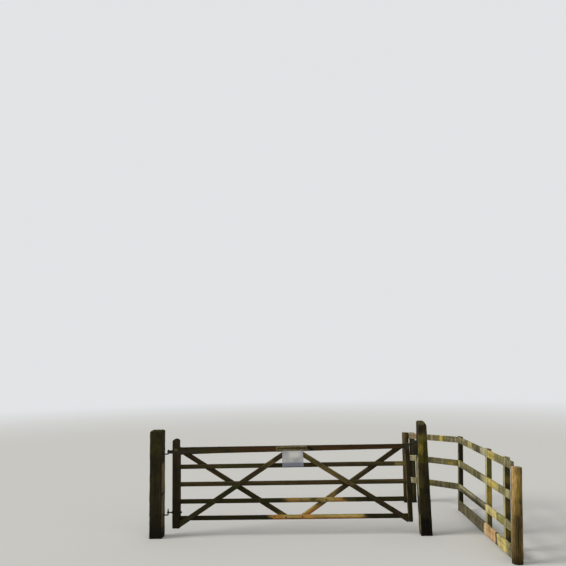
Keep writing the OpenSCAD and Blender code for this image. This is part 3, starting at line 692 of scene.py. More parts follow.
def timber(name, blank, look):  # blank gives the shape of the sound timber, look how it has weathered
    lowEnd, highEnd = blank["low"], blank["high"]
    uLow, uHigh = lowEnd[1].min(), highEnd[1].max()
    turned = blank.get("round", False)
    seed = look["seed"]

    def sizes(u):  # where the sound timber's faces are at a place along it
        return [np.interp(u, blank["sides"][0], part) for part in blank["sides"][1:]]

    cracks = cracksAlong(look, uLow, uHigh)
    if turned:
        ring = circlePoints(look["count"], cracks)
    else:
        v0, v1, w0, w1 = sizes((uLow + uHigh) / 2)
        radius = look["radius"] * mm
        ring = sectionPoints((v1 - v0) / 2, (w1 - w0) / 2, radius, look["spacing"] * mm, cracks)
    t, inset, setback, cap, end = rowsAlong(blank, look, sizes, uLow, uHigh)
    cv, cw, nv, nw, tv, tw, crackOf, part, corner = (c[None, :] for c in ring.T)
    u = uLow + t * (uHigh - uLow) + 0 * nv
    v0, v1, w0, w1 = (c.reshape(-1, 1) for c in sizes(u[:, 0]))
    hv, hw = (v1 - v0) / 2 - inset, (w1 - w0) / 2 - inset
    sharp = np.maximum((np.minimum(hv, hw) if turned else radius - inset), 0.15 * mm)
    sharp = np.minimum(sharp, np.minimum(hv, hw))
    v = (v0 + v1) / 2 + cv * (hv - sharp) + nv * sharp
    w = (w0 + w1) / 2 + cw * (hw - sharp) + nw * sharp
    acrossEnd = w if blank.get("endsBy") == "w" else v
    low, high = np.interp(acrossEnd, *lowEnd), np.interp(acrossEnd, *highEnd)
    share = blank.get("endShare", 1.0)  # how much of the length bends to meet the cut ends
    u += (low - uLow) * np.clip(1 - t / share, 0, 1) + (high - uHigh) * np.clip(1 - (1 - t) / share, 0, 1)
    u = u - np.sign(end) * setback
    out = look["rough"] * mm * humOver(u, v, w, weather["rough"], seed)
    ridges = 1 - 2 * np.abs(humOver(u, v, w, weather["ridge"], seed + 3))
    out += look["ridge"] * mm * ridges * (1 - cap)
    chip = np.maximum(humOver(u, corner, 0, weather["chip"], seed), weather["chipLeast"])
    out -= look["chip"] * mm * chip * (corner > 0)
    side = 0 * u
    depth = 0 * u
    for i, crack in enumerate(cracks):
        mine = (crackOf == i) * np.ones(u.shape)
        deep = np.maximum(crackDepth(crack, u), 0)
        drift = weather["driftBy"] * mm * humOver(u, 0, 0, weather["drift"], i + seed)
        side += mine * (drift + part * (weather["crackLip"] * mm + weather["crackSplay"] * deep))
        depth += mine * (part == 0) * deep * (1 - cap)
    middle = u.mean(1, keepdims=True)
    bowV, bowW = (look.get(key, 0.0) * mm * (4 * t * (1 - t)) * humOver(
            middle, 0, 0, weather["bow"], seed + shift)
        for key, shift in (("bowV", 11), ("bowW", 17)))
    endOut = np.sign(end) * cap * look["endRough"] * mm * humOver(u, v, w, weather["endRough"], seed + 5)
    push = (out - depth) * (1 - weather["endHold"] * cap)
    local = np.stack([u + endOut, v + nv * push + tv * side + bowV, w + nw * push + tw * side + bowW], -1)
    mesh = gridMesh(name, local @ blank["axes"] + blank["origin"])
    nearest = np.maximum(hv + inset - np.abs(v - (v0 + v1) / 2), hw + inset - np.abs(w - (w0 + w1) / 2))
    edge = np.exp(-nearest / (weather["edgeReach"] * mm)) * (not turned) + cap * (cap <= 0.99)
    dark = np.clip(depth / (weather["crackDark"] * mm), 0, 1)
    setMark(mesh, "grain", grainMark(local, look))
    setMark(mesh, "marks", np.stack([np.clip(edge, 0, 1), dark, cap + 0 * u], -1))
    normals = (nv[..., None] * blank["axes"][1] + nw[..., None] * blank["axes"][2]) * np.ones((*u.shape, 1))
    over = 0 * u if turned else cv + 0 * u
    patches, stainedAndSunlit = patchMarks(local[..., 0] - uLow, over, normals, local, look)
    setMark(mesh, "patches", patches)
    setMark(mesh, "stains", stainedAndSunlit)
    return mesh


def axesOf(along, across):
    u = Vector(along).normalized()
    v = Vector(across)
    v = (v - u * v.dot(u)).normalized()
    return np.array([u, v, u.cross(v)])


def nodePoints(node):
    return np.array([v.co[:] for v in frame["nodes"][node].data.vertices])


def middleOf(node):
    return [(low + high) / 2 for low, high in zip(*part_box(node))]


def outlineOf(points):  # the convex outline round points in a plane
    return points[geometry.convex_hull_2d(points.tolist())]


close = {"tiny": 1e-7, "inside": 1e-6, "beside": 1e-5, "endSteps": 41, "postSteps": 120}  # metres and counts


def outlineSpan(outline, v):  # where a line across a convex outline enters and leaves it
    found = []
    tiny = close["tiny"]
    for a, b in zip(outline, np.roll(outline, -1, axis=0)):
        if abs(b[1] - a[1]) > tiny and min(a[1], b[1]) - tiny <= v <= max(a[1], b[1]) + tiny:
            found.append(a[0] + (b[0] - a[0]) * (v - a[1]) / (b[1] - a[1]))
    return min(found), max(found)


def flatEnds(*places):  # an end cut square at each place
    return [(np.array([-1.0, 1.0]), np.full(2, place)) for place in places]


def blankFromNode(node, along, across, endsBy="v"):  # a straight board with the node's own cut ends
    axes = axesOf(along, across)
    origin = nodePoints(node).mean(0)
    local = (nodePoints(node) - origin) @ axes.T
    low, high = local.min(0), local.max(0)
    outline = outlineOf(local[:, [0, 1 if endsBy == "v" else 2]])
    first, last = outline[:, 1].min() + close["inside"], outline[:, 1].max() - close["inside"]
    steps = np.linspace(first, last, close["endSteps"])
    spans = np.array([outlineSpan(outline, s) for s in steps])
    sides = [np.array([low[0], high[0]])] + [np.full(2, x) for x in (low[1], high[1], low[2], high[2])]
    return {"origin": origin, "axes": axes, "low": (steps, spans[:, 0]), "high": (steps, spans[:, 1]),
        "sides": sides, "endsBy": endsBy}


def spanned(node, axes, origin):  # the widths of a post at each height, where its edges cross it
    local = (nodePoints(node) - origin) @ axes.T
    pairs = local[np.array([e.vertices[:] for e in frame["nodes"][node].data.edges])]
    rows = []
    first, last = local[:, 0].min() + close["inside"], local[:, 0].max() - close["inside"]
    breaks = np.concatenate([local[:, 0] - close["beside"], local[:, 0] + close["beside"]])
    steps = np.concatenate([np.linspace(first, last, close["postSteps"]), breaks])
    for height in np.unique(np.clip(steps, first, last)):
        above = pairs[:, :, 0] > height
        cut = pairs[above[:, 0] != above[:, 1]]
        share = ((height - cut[:, 0, 0]) / (cut[:, 1, 0] - cut[:, 0, 0]))[:, None]
        met = cut[:, 0, 1:] * (1 - share) + cut[:, 1, 1:] * share
        rows.append((height, met[:, 0].min(), met[:, 0].max(), met[:, 1].min(), met[:, 1].max()))
    return [np.array(c) for c in zip(*rows)]


postTop = 150.0  # millimetres down from a post's top over which its outline is followed closely


def postBlank(node, crown=0.0):  # crown is the height of a peaked top
    axes = axesOf((0, 0, 1), (1, 0, 0))
    low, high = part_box(node)
    origin = np.array([(low.x + high.x) / 2, (low.y + high.y) / 2, 0])
    sides = spanned(node, axes, origin)
    ends = flatEnds(low.z, high.z)
    share = 1.0
    if crown:
        sides = [part[sides[0] < high.z - crown * mm] for part in sides]
        outline = outlineOf(((nodePoints(node) - origin) @ axes.T)[:, :2])
        steps = np.linspace(sides[1][-1], sides[2][-1], close["endSteps"])
        ends[1] = (steps, np.array([outlineSpan(outline, s)[1] for s in steps]))
        share = 3 * crown * mm / (high.z - low.z)
    turns = np.unique(np.round(nodePoints(node)[:, 2], 3))
    stops = turns[(turns < high.z - (crown + 1) * mm) & (turns > high.z - postTop * mm)]
    return {"origin": origin, "axes": axes, "low": ends[0], "high": ends[1], "sides": sides,
        "endShare": share, "stops": stops}


def tenonedBlank(node):  # a rail with its tenons, its sizes read at each place where they change
    points = nodePoints(node)
    low, high = points.min(0), points.max(0)
    origin = np.array([(low[0] + high[0]) / 2, 0, (low[2] + high[2]) / 2])
    axes = axesOf((1, 0, 0), (0, 0, 1))
    local = (points - origin) @ axes.T
    shoulders = [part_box("heel_stile")[1].x - origin[0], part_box("head_stile")[0].x - origin[0]]
    step = 0.2 * mm
    rows = []
    for place in np.unique(np.round(local[:, 0], 4)):
        there = local[np.abs(local[:, 0] - place) < step]
        rows.append((place, *(f(there[:, i]) for i in (1, 2) for f in (np.min, np.max))))
    rows = [r for r in rows if r[2] - r[1] > 20 * mm and r[4] - r[3] > 15 * mm]  # whole sections only
    first, last = rows[0], rows[-1]
    inside = [r for r in rows if shoulders[0] - step < r[0] < shoulders[1] + step]
    table = [first, (shoulders[0] - step, *first[1:]), (shoulders[0], *inside[0][1:]), *inside[1:-1],
        (shoulders[1], *inside[-1][1:]), (shoulders[1] + step, *last[1:]), last]
    sides = [np.array(c) for c in zip(*table)]
    ends = flatEnds(first[0], last[0])
    return {"origin": origin, "axes": axes, "low": ends[0], "high": ends[1], "sides": sides,
        "stops": sides[0][1:-1]}


def broadFace(node):  # where the broadest flat side of a node faces
    sides = {}
    for face in frame["nodes"][node].data.polygons:
        key = tuple(round(abs(c), 2) for c in face.normal)
        sides.setdefault(key, [0.0, face.normal])
        sides[key][0] += face.area
    return np.array(max(sides.values(), key=lambda s: s[0])[1])


def longWay(node, plane):  # the direction of a node's longest edge, seen in a plane
    outline = outlineOf(nodePoints(node)[:, plane])
    edges = np.roll(outline, -1, axis=0) - outline
    best = edges[np.argmax((edges ** 2).sum(1))]
    way = np.zeros(3)
    way[plane] = best / np.linalg.norm(best)
    return way if way[2] >= 0 else -way


def withCracks(style, order, **more):  # a style with cracks scattered by its own seed
    seed = style["seedFrom"] + order
    dice = np.random.default_rng(seed)
    cracks = []
    for i in range(style["crackCount"]):
        start = dice.uniform(0.0, 0.75)
        cracks.append({"side": style["crackSides"][i % len(style["crackSides"])],
            "at": dice.uniform(-0.6, 0.6),
            "span": (start - 0.05, min(1.05, start + dice.uniform(0.2, 0.6))),
            "deep": dice.uniform(*style["deep"])})
    return dict(style, seed=float(seed), cracks=cracks, **more)


# Leaf
leafRails = {
    "radius": 3.2, "endRadius": 1.5, "spacing": 4.6, "step": 24.0, "rough": 0.9, "ridge": 0.3, "chip": 3.0,
    "bowV": 3.5, "bowW": 2.0, "deep": (2.5, 6.0), "endRough": 0.6, "pith": (0, 0.04, 0.07), "slant": 0.03,
    "seedFrom": 21, "crackSides": (2, 0, 2), "crackCount": 5,
}
leafBraces = dict(leafRails, bowV=1.5, bowW=0.6, chip=2.6, seedFrom=41, crackCount=4,
    fade=(0.7, 1.0, 1.0, 1.15))
leafStiles = dict(leafRails, radius=4.5, endRadius=4.0, spacing=5.0, step=16.0, bowV=0.0, bowW=0.0,
    deep=(5.0, 12.0), endRough=2.0, tone=0.8, seedFrom=33, crackSides=(0, 2, 1, 3), crackCount=7)
topRail = dict(leafRails, radius=4.0, spacing=5.0, step=22.0, bowV=0.0, bowW=0.0, deep=(4.0, 9.0))
mortise = {"gap": 1.3, "through": 400.0, "weld": 0.02, "sharpFrom": 50}


def mortised(mesh, node, rails, look, blank):  # cuts the holes through a stile that the rails' tenons show in
    middle = nodePoints(node).mean(0)[0]
    cutter = bmesh.new()
    for rail in rails:
        points = nodePoints(rail)
        tip = points[:, 0].min() if node == "heel_stile" else points[:, 0].max()
        end = points[np.abs(points[:, 0] - tip) < mm]
        low, high = end.min(0) - mortise["gap"] * mm, end.max(0) + mortise["gap"] * mm
        size = Matrix.Diagonal((mortise["through"] * mm, high[1] - low[1], high[2] - low[2], 1))
        centre = Matrix.Translation((middle, (low[1] + high[1]) / 2, (low[2] + high[2]) / 2))
        bmesh.ops.create_cube(cutter, size=1.0, matrix=centre @ size)
    tool = bpy.data.meshes.new("mortises")
    cutter.to_mesh(tool)
    cutter.free()
    pair = [linked(m.name, m) for m in (mesh, tool)]
    cut = pair[0].modifiers.new("cut", "BOOLEAN")
    cut.object = pair[1]
    cut.operation = "DIFFERENCE"
    cut.solver = "EXACT"
    bpy.context.view_layer.update()
    cutMesh = pair[0].evaluated_get(bpy.context.evaluated_depsgraph_get())
    made = bpy.data.meshes.new_from_object(cutMesh)
    shell = bmesh.new()
    shell.from_mesh(made)
    bmesh.ops.remove_doubles(shell, verts=shell.verts[:], dist=mortise["weld"] * mm)
    bmesh.ops.holes_fill(shell, edges=[e for e in shell.edges if e.is_boundary], sides=0)
    shell.to_mesh(made)
    shell.free()
    near = kdtree.KDTree(len(mesh.vertices))
    for i, v in enumerate(mesh.vertices):
        near.insert(v.co, i)
    near.balance()
    match = [near.find(v.co)[1] for v in made.vertices]
    for key in ("marks", "patches", "stains"):
        old = np.zeros(len(mesh.vertices) * 3, np.float32)
        mesh.attributes[key].data.foreach_get("vector", old)
        setMark(made, key, old.reshape(-1, 3)[match])
    places = np.array([v.co[:] for v in made.vertices])
    setMark(made, "grain", grainMark((places - blank["origin"]) @ blank["axes"].T, look))
    for each in pair:
        bpy.data.objects.remove(each)
    smoothFaces(made, mortise["sharpFrom"])
    return made


def addTimber(node, blank, look, home, rails=()):  # home is its body, slot and material, though the slot is not used; rails go through it
    mesh = timber("worn_" + node, blank, look)
    if rails:
        mesh = mortised(mesh, node, rails, look, blank)
    addPiece("worn_" + node, mesh, *home, node)


railTones = {
    "top_rail": 0.98, "second_rail": 1.06, "middle_rail": 1.12, "fourth_rail": 0.96, "bottom_rail": 0.86,
}
# Each rail's tone from its low edge to its high one: painted light and shade.
railShadesAcross = {"top_rail": (0.8, 1.12, 1.0, 0.55), "bottom_rail": (0.7, 1.0, 1.1, 1.2)}
plainShadeAcross = (0.68, 0.95, 1.1, 1.25)
stileCrowns = {"heel_stile": 30.0, "head_stile": 0.0}
braceTones = {
    "front_brace_heel": 0.88, "front_brace_head": 0.94, "rear_brace_heel": 0.84, "rear_brace_head": 0.94,
}
front, left, right = (0, -1, 0), (-1, 0, 0), (1, 0, 0)
# The golden, orange and lighter stretches on the lower rails and the braces are painted sunlight, the head
# stile's pale left face is painted light, and most darker stretches are painted shade.
leafPatches = {  # where the leaf is greener, paler, golden, redder, lighter or darker
    "top_rail": [
        patch("green", 0.2, 0.75, 0.35), patch("red", 0.98, 1.75, 0.8), patch("red", 2.25, 3.5, 0.85),
        patch("tone", 2.11, 2.164, 0.25, soft=0.006), patch("tone", 0.0, 0.9, 0.85)],
    "second_rail": [
        patch("green", 0.6, 1.3, 0.3), patch("tone", 1.5, 1.75, 0.6), patch("gold", 3.44, 3.64, 0.4),
        patch("tone", 2.08, 2.3, 0.7)],
    "middle_rail": [patch("red", 0.3, 0.8, 0.4), patch("red", 1.8, 2.7, 0.35)],
    "fourth_rail": [
        patch("red", 0.2, 0.5, 0.7, over=(0.2, 1.2)), patch("green", 0.0, 1.7, 0.6),
        patch("tone", 0.0, 1.7, 0.6), patch("gold", 1.78, 2.2, 0.42, soft=0.06),
        patch("gold", 2.2, 2.66, 0.68, soft=0.06), patch("tone", 1.78, 2.66, 1.25),
        patch("red", 1.7, 2.4, 0.5, over=(-2, -0.2)), patch("orange", 1.8, 1.95, 0.3),
        patch("orange", 2.5, 2.66, 0.5), patch("green", 2.75, 3.5, 0.8), patch("tone", 2.8, 3.6, 0.58)],
    "bottom_rail": [
        patch("green", 0.0, 1.5, 0.9), patch("tone", 0.0, 1.47, 0.42),
        patch("gold", 1.53, 2.94, 0.9, over=(-0.4, 2), soft=0.05), patch("orange", 1.53, 1.72, 0.8),
        patch("orange", 1.53, 2.9, 0.6, over=(-2, -0.3)), patch("orange", 1.95, 2.2, 0.5),
        patch("tone", 2.2, 2.6, 0.85), patch("tone", 1.5, 2.94, 1.3), patch("tone", 2.98, 3.7, 0.52),
        patch("green", 3.0, 3.7, 0.8)],
    "rear_brace_head": [
        patch("gold", 0.0, 0.42, 0.8, over=(0.2, 2)), patch("gold", 0.4, 0.78, 0.5, soft=0.06),
        patch("orange", 0.0, 0.42, 0.8, over=(-2, 0.1)), patch("tone", 0.0, 0.42, 1.25)],
    "rear_brace_heel": [
        patch("gold", -0.1, 0.2, 0.8, soft=0.05), patch("green", 0.2, 1.0, 0.5),
        patch("tone", 0.25, 1.0, 0.78)],
    "front_brace_heel": [
        patch("green", 0.0, 1.1, 0.6), patch("tone", 0.0, 1.0, 0.75), patch("gold", 1.55, 1.75, 0.25)],
    "front_brace_head": [
        patch("green", 1.5, 1.9, 0.4), patch("tone", 0.0, 0.7, 0.72), patch("gold", 1.0, 1.9, 0.16),
        patch("tone", 1.0, 2.0, 1.25)],
    "heel_stile": [
        patch("bare", 1.13, 1.17, 0.9, front, over=(-0.4, 0.6), soft=0.006), patch("green", 0.0, 0.4, 0.35),
        patch("tone", 0.0, 0.95, 0.6), patch("tone", 0.0, 0.42, 0.6), patch("bare", 0.2, 0.7, 0.2, right)],
    "head_stile": [
        patch("bare", 0.0, 0.95, 0.55, left), patch("tone", 0.42, 1.3, 0.72), patch("green", 0, 0.4, 0.3),
        patch("tone", 0.0, 0.5, 0.5, front)],
}


def makeLeafTimber():
    home = ("gate_leaf", "leaf_wood", leafWood)
    for order, node in enumerate(railTones):
        look = withCracks(topRail if node == "top_rail" else leafRails, order, tone=railTones[node],
            fade=railShadesAcross.get(node, plainShadeAcross), patches=leafPatches[node])
        addTimber(node, tenonedBlank(node), look, home)
    for order, node in enumerate(stileCrowns):
        look = withCracks(leafStiles, order, patches=leafPatches[node])
        addTimber(node, postBlank(node, stileCrowns[node]), look, home, rails=railTones)
    for order, node in enumerate(braceTones):
        look = withCracks(leafBraces, order, tone=braceTones[node], patches=leafPatches[node])
        addTimber(node, blankFromNode(node, longWay(node, [0, 2]), (0, 0, 1)), look, home)


makeLeafTimber()
print("leaf timber made")

# Gate posts
gatePosts = {
    "radius": 9.0, "endRadius": 6.0, "spacing": 7.0, "step": 13.0, "rough": 3.2, "ridge": 0.6, "chip": 7.0,
    "deep": (12.0, 24.0), "endRough": 4.0, "pith": (0, 0.012, -0.018), "green": 0.1,
    "seedFrom": 52, "crackSides": (0, 1, 2, 3), "crackCount": 8,
}
# The hanging post is darker: partly its own colour, partly painted shade. The pale faces on one side of each
# post are painted light, and most darker stretches are painted shade; the green and golden stretches on the
# shutting post's front are moss.
gatePostTones = {"hanging_post": 0.52, "shutting_post": 0.84}
gatePostPatches = {
    "hanging_post": [
        patch("green", 1.2, 1.7, 0.35), patch("bare", 0.1, 1.1, 0.5, right),
        patch("tone", 0.1, 1.1, 1.5, right), patch("tone", 0.0, 0.35, 0.7)],
    "shutting_post": [
        patch("tone", 1.2, 1.52, 1.5, front, over=(-1.2, 0.3)),
        patch("bare", 1.61, 1.66, 0.4, front, soft=0.01),
        patch("gold", 1.36, 1.46, 0.4, front, soft=0.03),
        patch("gold", 1.18, 1.33, 0.95, front, over=(-1.2, 0.0)),
        patch("green", 1.05, 1.5, 0.7, front), patch("bare", 0.58, 1.12, 0.95, left),
        patch("bare", 0.0, 0.3, 0.8, left), patch("tone", 1.5, 1.7, 0.7, front),
        patch("tone", 0.0, 0.25, 0.2, front), patch("tone", 0.25, 0.7, 0.48, front),
        patch("green", 0.5, 1.1, 0.3, front, over=(-1.2, 0.2)),
        patch("tone", 0.6, 1.36, 0.6, front, over=(0.1, 2))],
}


def makeGatePosts():
    for order, (node, tone) in enumerate(gatePostTones.items()):
        look = withCracks(gatePosts, order, tone=tone, patches=gatePostPatches[node])
        addTimber(node, postBlank(node), look, ("gateway", "gate_post_wood", gatePostWood))


makeGatePosts()
print("gate posts made")

# Walkers' pen
penPosts = {
    "radius": 4.0, "endRadius": 3.0, "spacing": 5.0, "step": 15.0, "rough": 0.9, "ridge": 0.3, "chip": 3.0,
    "deep": (4.0, 9.0), "endRough": 1.4, "pith": (0, 0.01, 0.02), "green": 0.05,
    "seedFrom": 61, "crackSides": (0, 2, 1, 3), "crackCount": 5,
}
penRails = {
    "radius": 3.0, "endRadius": 2.0, "spacing": 5.6, "step": 13.0, "rough": 0.9, "ridge": 0.3, "chip": 2.6,
    "deep": (2.5, 7.0), "endRough": 1.0, "pith": (0, 0.05, 0.06), "bands": 0.7, "slant": 0.016, "bowV": 3.0,
    "bowW": 1.5, "fade": (0.8, 1.0, 1.0, 1.15), "seedFrom": 81, "crackSides": (0, 2), "crackCount": 4,
}
roundPosts = {
    "endRadius": 6.0, "count": 84, "step": 13.0, "rough": 3.0, "ridge": 0.5, "chip": 0.0,
    "deep": (12.0, 30.0), "endRough": 2.0, "pith": (0, 0.004, -0.006), "seedFrom": 70, "crackCount": 9,
}
# Where the pen's boards and posts are greener, paler, golden, redder, lighter or darker. Much of it is
# painted light and shade: the posts' pale left faces and tops, the golden flecks, the pale ends of the back
# rails and the narrow dark stripes stand for sunlight and the shadows of twigs, and most darker stretches are
# painted shade.
penPatches = {
    "side_top_rail": [
        patch("tone", 0.0, 0.62, 0.72), patch("gold", 0.7, 0.79, 0.8, soft=0.01),
        patch("tone", 0.82, 1.22, 0.48), patch("bare", 1.24, 1.56, 0.6), patch("gold", 1.58, 1.86, 0.75),
        patch("tone", 1.66, 1.69, 0.6, soft=0.008), patch("tone", 1.77, 1.8, 0.65, soft=0.008),
        patch("green", 1.88, 2.25, 0.4), patch("tone", 1.9, 2.6, 0.75)],
    "side_middle_rail": [
        patch("green", 0.1, 1.2, 0.2), patch("tone", 0.1, 1.2, 0.62), patch("bare", 1.27, 1.5, 0.5),
        patch("gold", 1.53, 1.98, 0.85), patch("tone", 1.72, 1.75, 0.6, soft=0.008),
        patch("gold", 0.02, 0.12, 0.5, soft=0.01), patch("tone", 2.15, 2.6, 0.9)],
    "side_lower_rail": [
        patch("tone", 0.0, 1.45, 0.6), patch("bare", 0.1, 1.45, 0.55, over=(0.2, 1.4)),
        patch("tone", 0.15, 1.45, 0.45, over=(-2, 0.1)), patch("tone", 1.62, 1.65, 0.7, soft=0.008),
        patch("bare", 1.47, 1.93, 0.4), patch("gold", 1.47, 1.93, 0.85),
        patch("red", 1.75, 1.9, 0.7, over=(-1, 0)), patch("green", 1.95, 2.3, 0.5),
        patch("tone", 2.3, 2.6, 0.85)],
    "rear_kickboard": [
        patch("bare", 0.42, 0.5, 0.6, soft=0.01), patch("bare", 0.62, 1.3, 0.4),
        patch("red", 0.8, 1.4, 0.25)],
    "front_kickboard": [
        patch("red", 0.0, 0.5, 0.85), patch("tone", 0.5, 0.58, 0.3, soft=0.01),
        patch("gold", 0.58, 0.92, 0.9),
        patch("bare", 0.58, 0.92, 0.3), patch("bare", -0.1, 0.08, 0.6, soft=0.01),
        patch("tone", 0.22, 0.27, 0.7, soft=0.01), patch("tone", 0.7, 0.73, 0.7, soft=0.01)],
    "back_top_rail": [
        patch("tone", 0.0, 0.78, 0.7), patch("gold", 0.32, 0.4, 0.9, soft=0.008),
        patch("tone", 0.32, 0.4, 1.5, soft=0.008), patch("red", 0.78, 1.0, 0.6),
        patch("bare", 0.78, 1.0, 0.2),
        patch("tone", 0.78, 1.0, 0.7)],
    "back_middle_rail": [
        patch("tone", 0.0, 0.78, 0.46), patch("gold", 0.12, 0.22, 0.7, over=(-2, 0.3), soft=0.01),
        patch("green", 0.0, 0.3, 0.4), patch("bare", 0.78, 1.0, 0.35), patch("tone", 0.78, 1.0, 0.82)],
    "back_lower_rail": [
        patch("tone", 0.0, 0.78, 0.38), patch("gold", 0.52, 0.7, 0.5), patch("green", 0.0, 0.6, 0.4),
        patch("bare", 0.78, 1.0, 0.3), patch("tone", 0.78, 1.0, 0.65)],
    "corner_post": [patch("bare", 0.0, 0.95, 0.6, left), patch("tone", 0.0, 1.3, 0.3, front)],
    "side_middle_post": [
        patch("bare", 0.0, 1.3, 0.95, left), patch("tone", 0.0, 1.3, 1.6, left),
        patch("gold", 0.44, 0.7, 0.9, front), patch("green", 0.86, 1.0, 0.9), patch("bare", 1.2, 1.3, 0.5)],
    "side_end_post": [
        patch("bare", 0.0, 1.3, 0.6, left), patch("tone", 0.0, 1.3, 1.6, left),
        patch("tone", 0.0, 1.2, 0.42, front), patch("gold", 0.9, 1.0, 0.9, front),
        patch("gold", 0.5, 0.66, 0.5, front), patch("gold", 0.2, 0.32, 0.8, front),
        patch("bare", 1.2, 1.3, 0.8)],
    "back_end_post": [patch("tone", 0.0, 1.2, 0.4)],
    "front_round_post": [
        patch("tone", -0.1, 0.78, 0.62, front, soft=0.08), patch("bare", 0.6, 1.2, 0.8, left),
        patch("bare", 0.1, 0.6, 0.5, left), patch("tone", 0.6, 1.2, 0.85, front),
        patch("gold", 0.62, 1.1, 0.4, front), patch("tone", -0.1, 0.6, 0.3, soft=0.04),
        patch("tone", 0.6, 1.2, 0.5, right), patch("bare", 0.05, 0.62, 0.8, right),
        patch("tone", -0.1, 0.6, 2.0, right), patch("tone", -0.1, 0.6, 1.6, left)],
    "back_round_post": [
        patch("tone", 0.0, 1.02, 0.6), patch("red", 0.0, 1.3, 0.8, left),
        patch("tone", 0.0, 1.3, 0.4, right)],
}
penMiddle = (4.4, 0.6, 0.7)  # a place on the path inside the pen
# These darken the pieces, the corner post, the far round post and the rear kickboard most: partly their own
# colour, partly painted shade.
penTones = {
    "corner_post": 0.45, "side_middle_post": 0.72, "side_end_post": 0.7, "back_end_post": 0.7,
    "front_round_post": 1.0, "back_round_post": 0.37, "rear_kickboard": 0.42,
}


def fenceOf(board):  # along a leaning fence from its corner, out of its face to the path, and up its boards
    way = longWay(board, [0, 1])
    way = way * np.sign(way @ (nodePoints(board).mean(0) - nodePoints("corner_post").mean(0)))
    out = broadFace(board)
    if out @ (np.array(penMiddle) - nodePoints(board).mean(0)) < 0:
        out = -out
    up = np.cross(way, out)
    return way, out, up * np.sign(up[2])


def fenceFor(node):  # the same for the fence that a piece of the pen stands in
    return fenceOf("back_top_rail" if node.startswith("back_") else "side_top_rail")


def roundLook(order, **more):  # a round post, with cracks scattered by its own seed
    seed = roundPosts["seedFrom"] + order
    dice = np.random.default_rng(seed)
    cracks = [{"at": dice.uniform(0, 2 * math.pi), "span": (s - 0.1, s + dice.uniform(0.3, 0.7)),
        "deep": dice.uniform(*roundPosts["deep"])} for s in dice.uniform(0, 0.6, roundPosts["crackCount"])]
    return dict(roundPosts, seed=float(seed), cracks=cracks, **more)


def makePen():
    for order, node in enumerate(("corner_post", "side_middle_post", "side_end_post", "back_end_post")):
        out, up = fenceFor(node)[1:]
        look = withCracks(penPosts, order, tone=penTones[node], patches=penPatches[node])
        addTimber(node, blankFromNode(node, up, out), look, ("gateway", "pen_post_wood", penPostWood))
    for order, node in enumerate(("front_round_post", "back_round_post")):
        out, up = fenceFor(node)[1:]
        look = roundLook(order, tone=penTones[node], patches=penPatches[node])
        blank = dict(blankFromNode(node, up, out), round=True)
        addTimber(node, blank, look, ("gateway", "round_post_wood", roundPostWood))
    boards = [n for n in frame["nodes"] if n.startswith(("side_", "back_")) and n.endswith("_rail")]
    for order, node in enumerate(sorted(boards) + ["rear_kickboard", "front_kickboard"]):
        way, out, up = fenceFor(node)
        look = withCracks(penRails, order, tone=penTones.get(node, 1.0), patches=penPatches[node])
        blank = blankFromNode(node, way, up, "w" if node.startswith("back_") else "v")
        addTimber(node, blank, look, ("gateway", "pen_rail_wood", penRailWood))


makePen()
print("pen made")

# Metalwork
metal = {"spacing": 12.0, "capShare": 0.9, "sharpFrom": 38}
nutProfile = (  # the height and the reach of each ring, as shares of the nut's
    (0, 0.3), (0, 0.98), (0.14, 1.04), (0.28, 1.2), (0.72, 1.2), (0.86, 1.04), (1, 0.98), (1, 0.3),
)
domeTurns = (0, 18, 36, 54, 72, 86)  # degrees


def ringRows(heights, radii, sides=24):  # circular rings up the Z axis
    turn = np.linspace(0, 2 * math.pi, sides, endpoint=False)
    return np.array([[(r * math.cos(a), r * math.sin(a), z) for a in turn] for z, r in zip(heights, radii)])


def hexRows(width, thick, sides=36):  # a nut whose corners are turned off above and below
    turn = np.arange(sides) * 2 * math.pi / sides
    flat = width / 2 / np.cos((turn + math.pi / 6) % (math.pi / 3) - math.pi / 6)
    rows = []
    for z, least in nutProfile:
        r = np.minimum(flat, width / 2 * least)
        rows.append(np.stack([r * np.cos(turn), r * np.sin(turn), np.full(sides, z * thick)], -1))
    return np.array(rows)


def plateRows(halfX, halfY, thick, corner, bevel):  # a plate with rounded corners and soft edges
    ring = sectionPoints(halfX, halfY, corner, metal["spacing"] * mm, ())
    middle = metal["capShare"] * min(halfX, halfY)
    rows = []
    for z, inset in ((0, middle), (0, bevel), (bevel, 0),
            (thick - bevel, 0), (thick, bevel), (thick, middle)):
        r = max(corner - inset, 0.1 * mm)
        x = ring[:, 0] * (halfX - inset - r) + ring[:, 2] * r
        y = ring[:, 1] * (halfY - inset - r) + ring[:, 3] * r
        rows.append(np.stack([x, y, np.full(len(ring), z)], -1))
    return np.array(rows)


def placed(rows, place, way, spin=0.0):  # stands rings that were made up the Z axis along a direction
    turn = Vector(way).to_track_quat("Z", "Y").to_matrix() @ Matrix.Rotation(spin, 3, "Z")
    return rows @ np.array(turn).T + np.array(place)


def joined(name, parts):  # several closed ring stacks in one mesh
    whole = bmesh.new()
    for part in parts:
        piece = part if isinstance(part, bpy.types.Mesh) else gridMesh(name, part)
        whole.from_mesh(piece)
        bpy.data.meshes.remove(piece)
    mesh = bpy.data.meshes.new(name)
    whole.to_mesh(mesh)
    whole.free()
    smoothFaces(mesh, metal["sharpFrom"])
    return mesh


def addForged(node, parts, body):
    addPiece("forged_" + node, joined("forged_" + node, parts), body, "iron", oldIron, node)


def addFixings(name, parts, body):
    return addPiece(name, joined(name, parts), body, "iron", rustyNail)


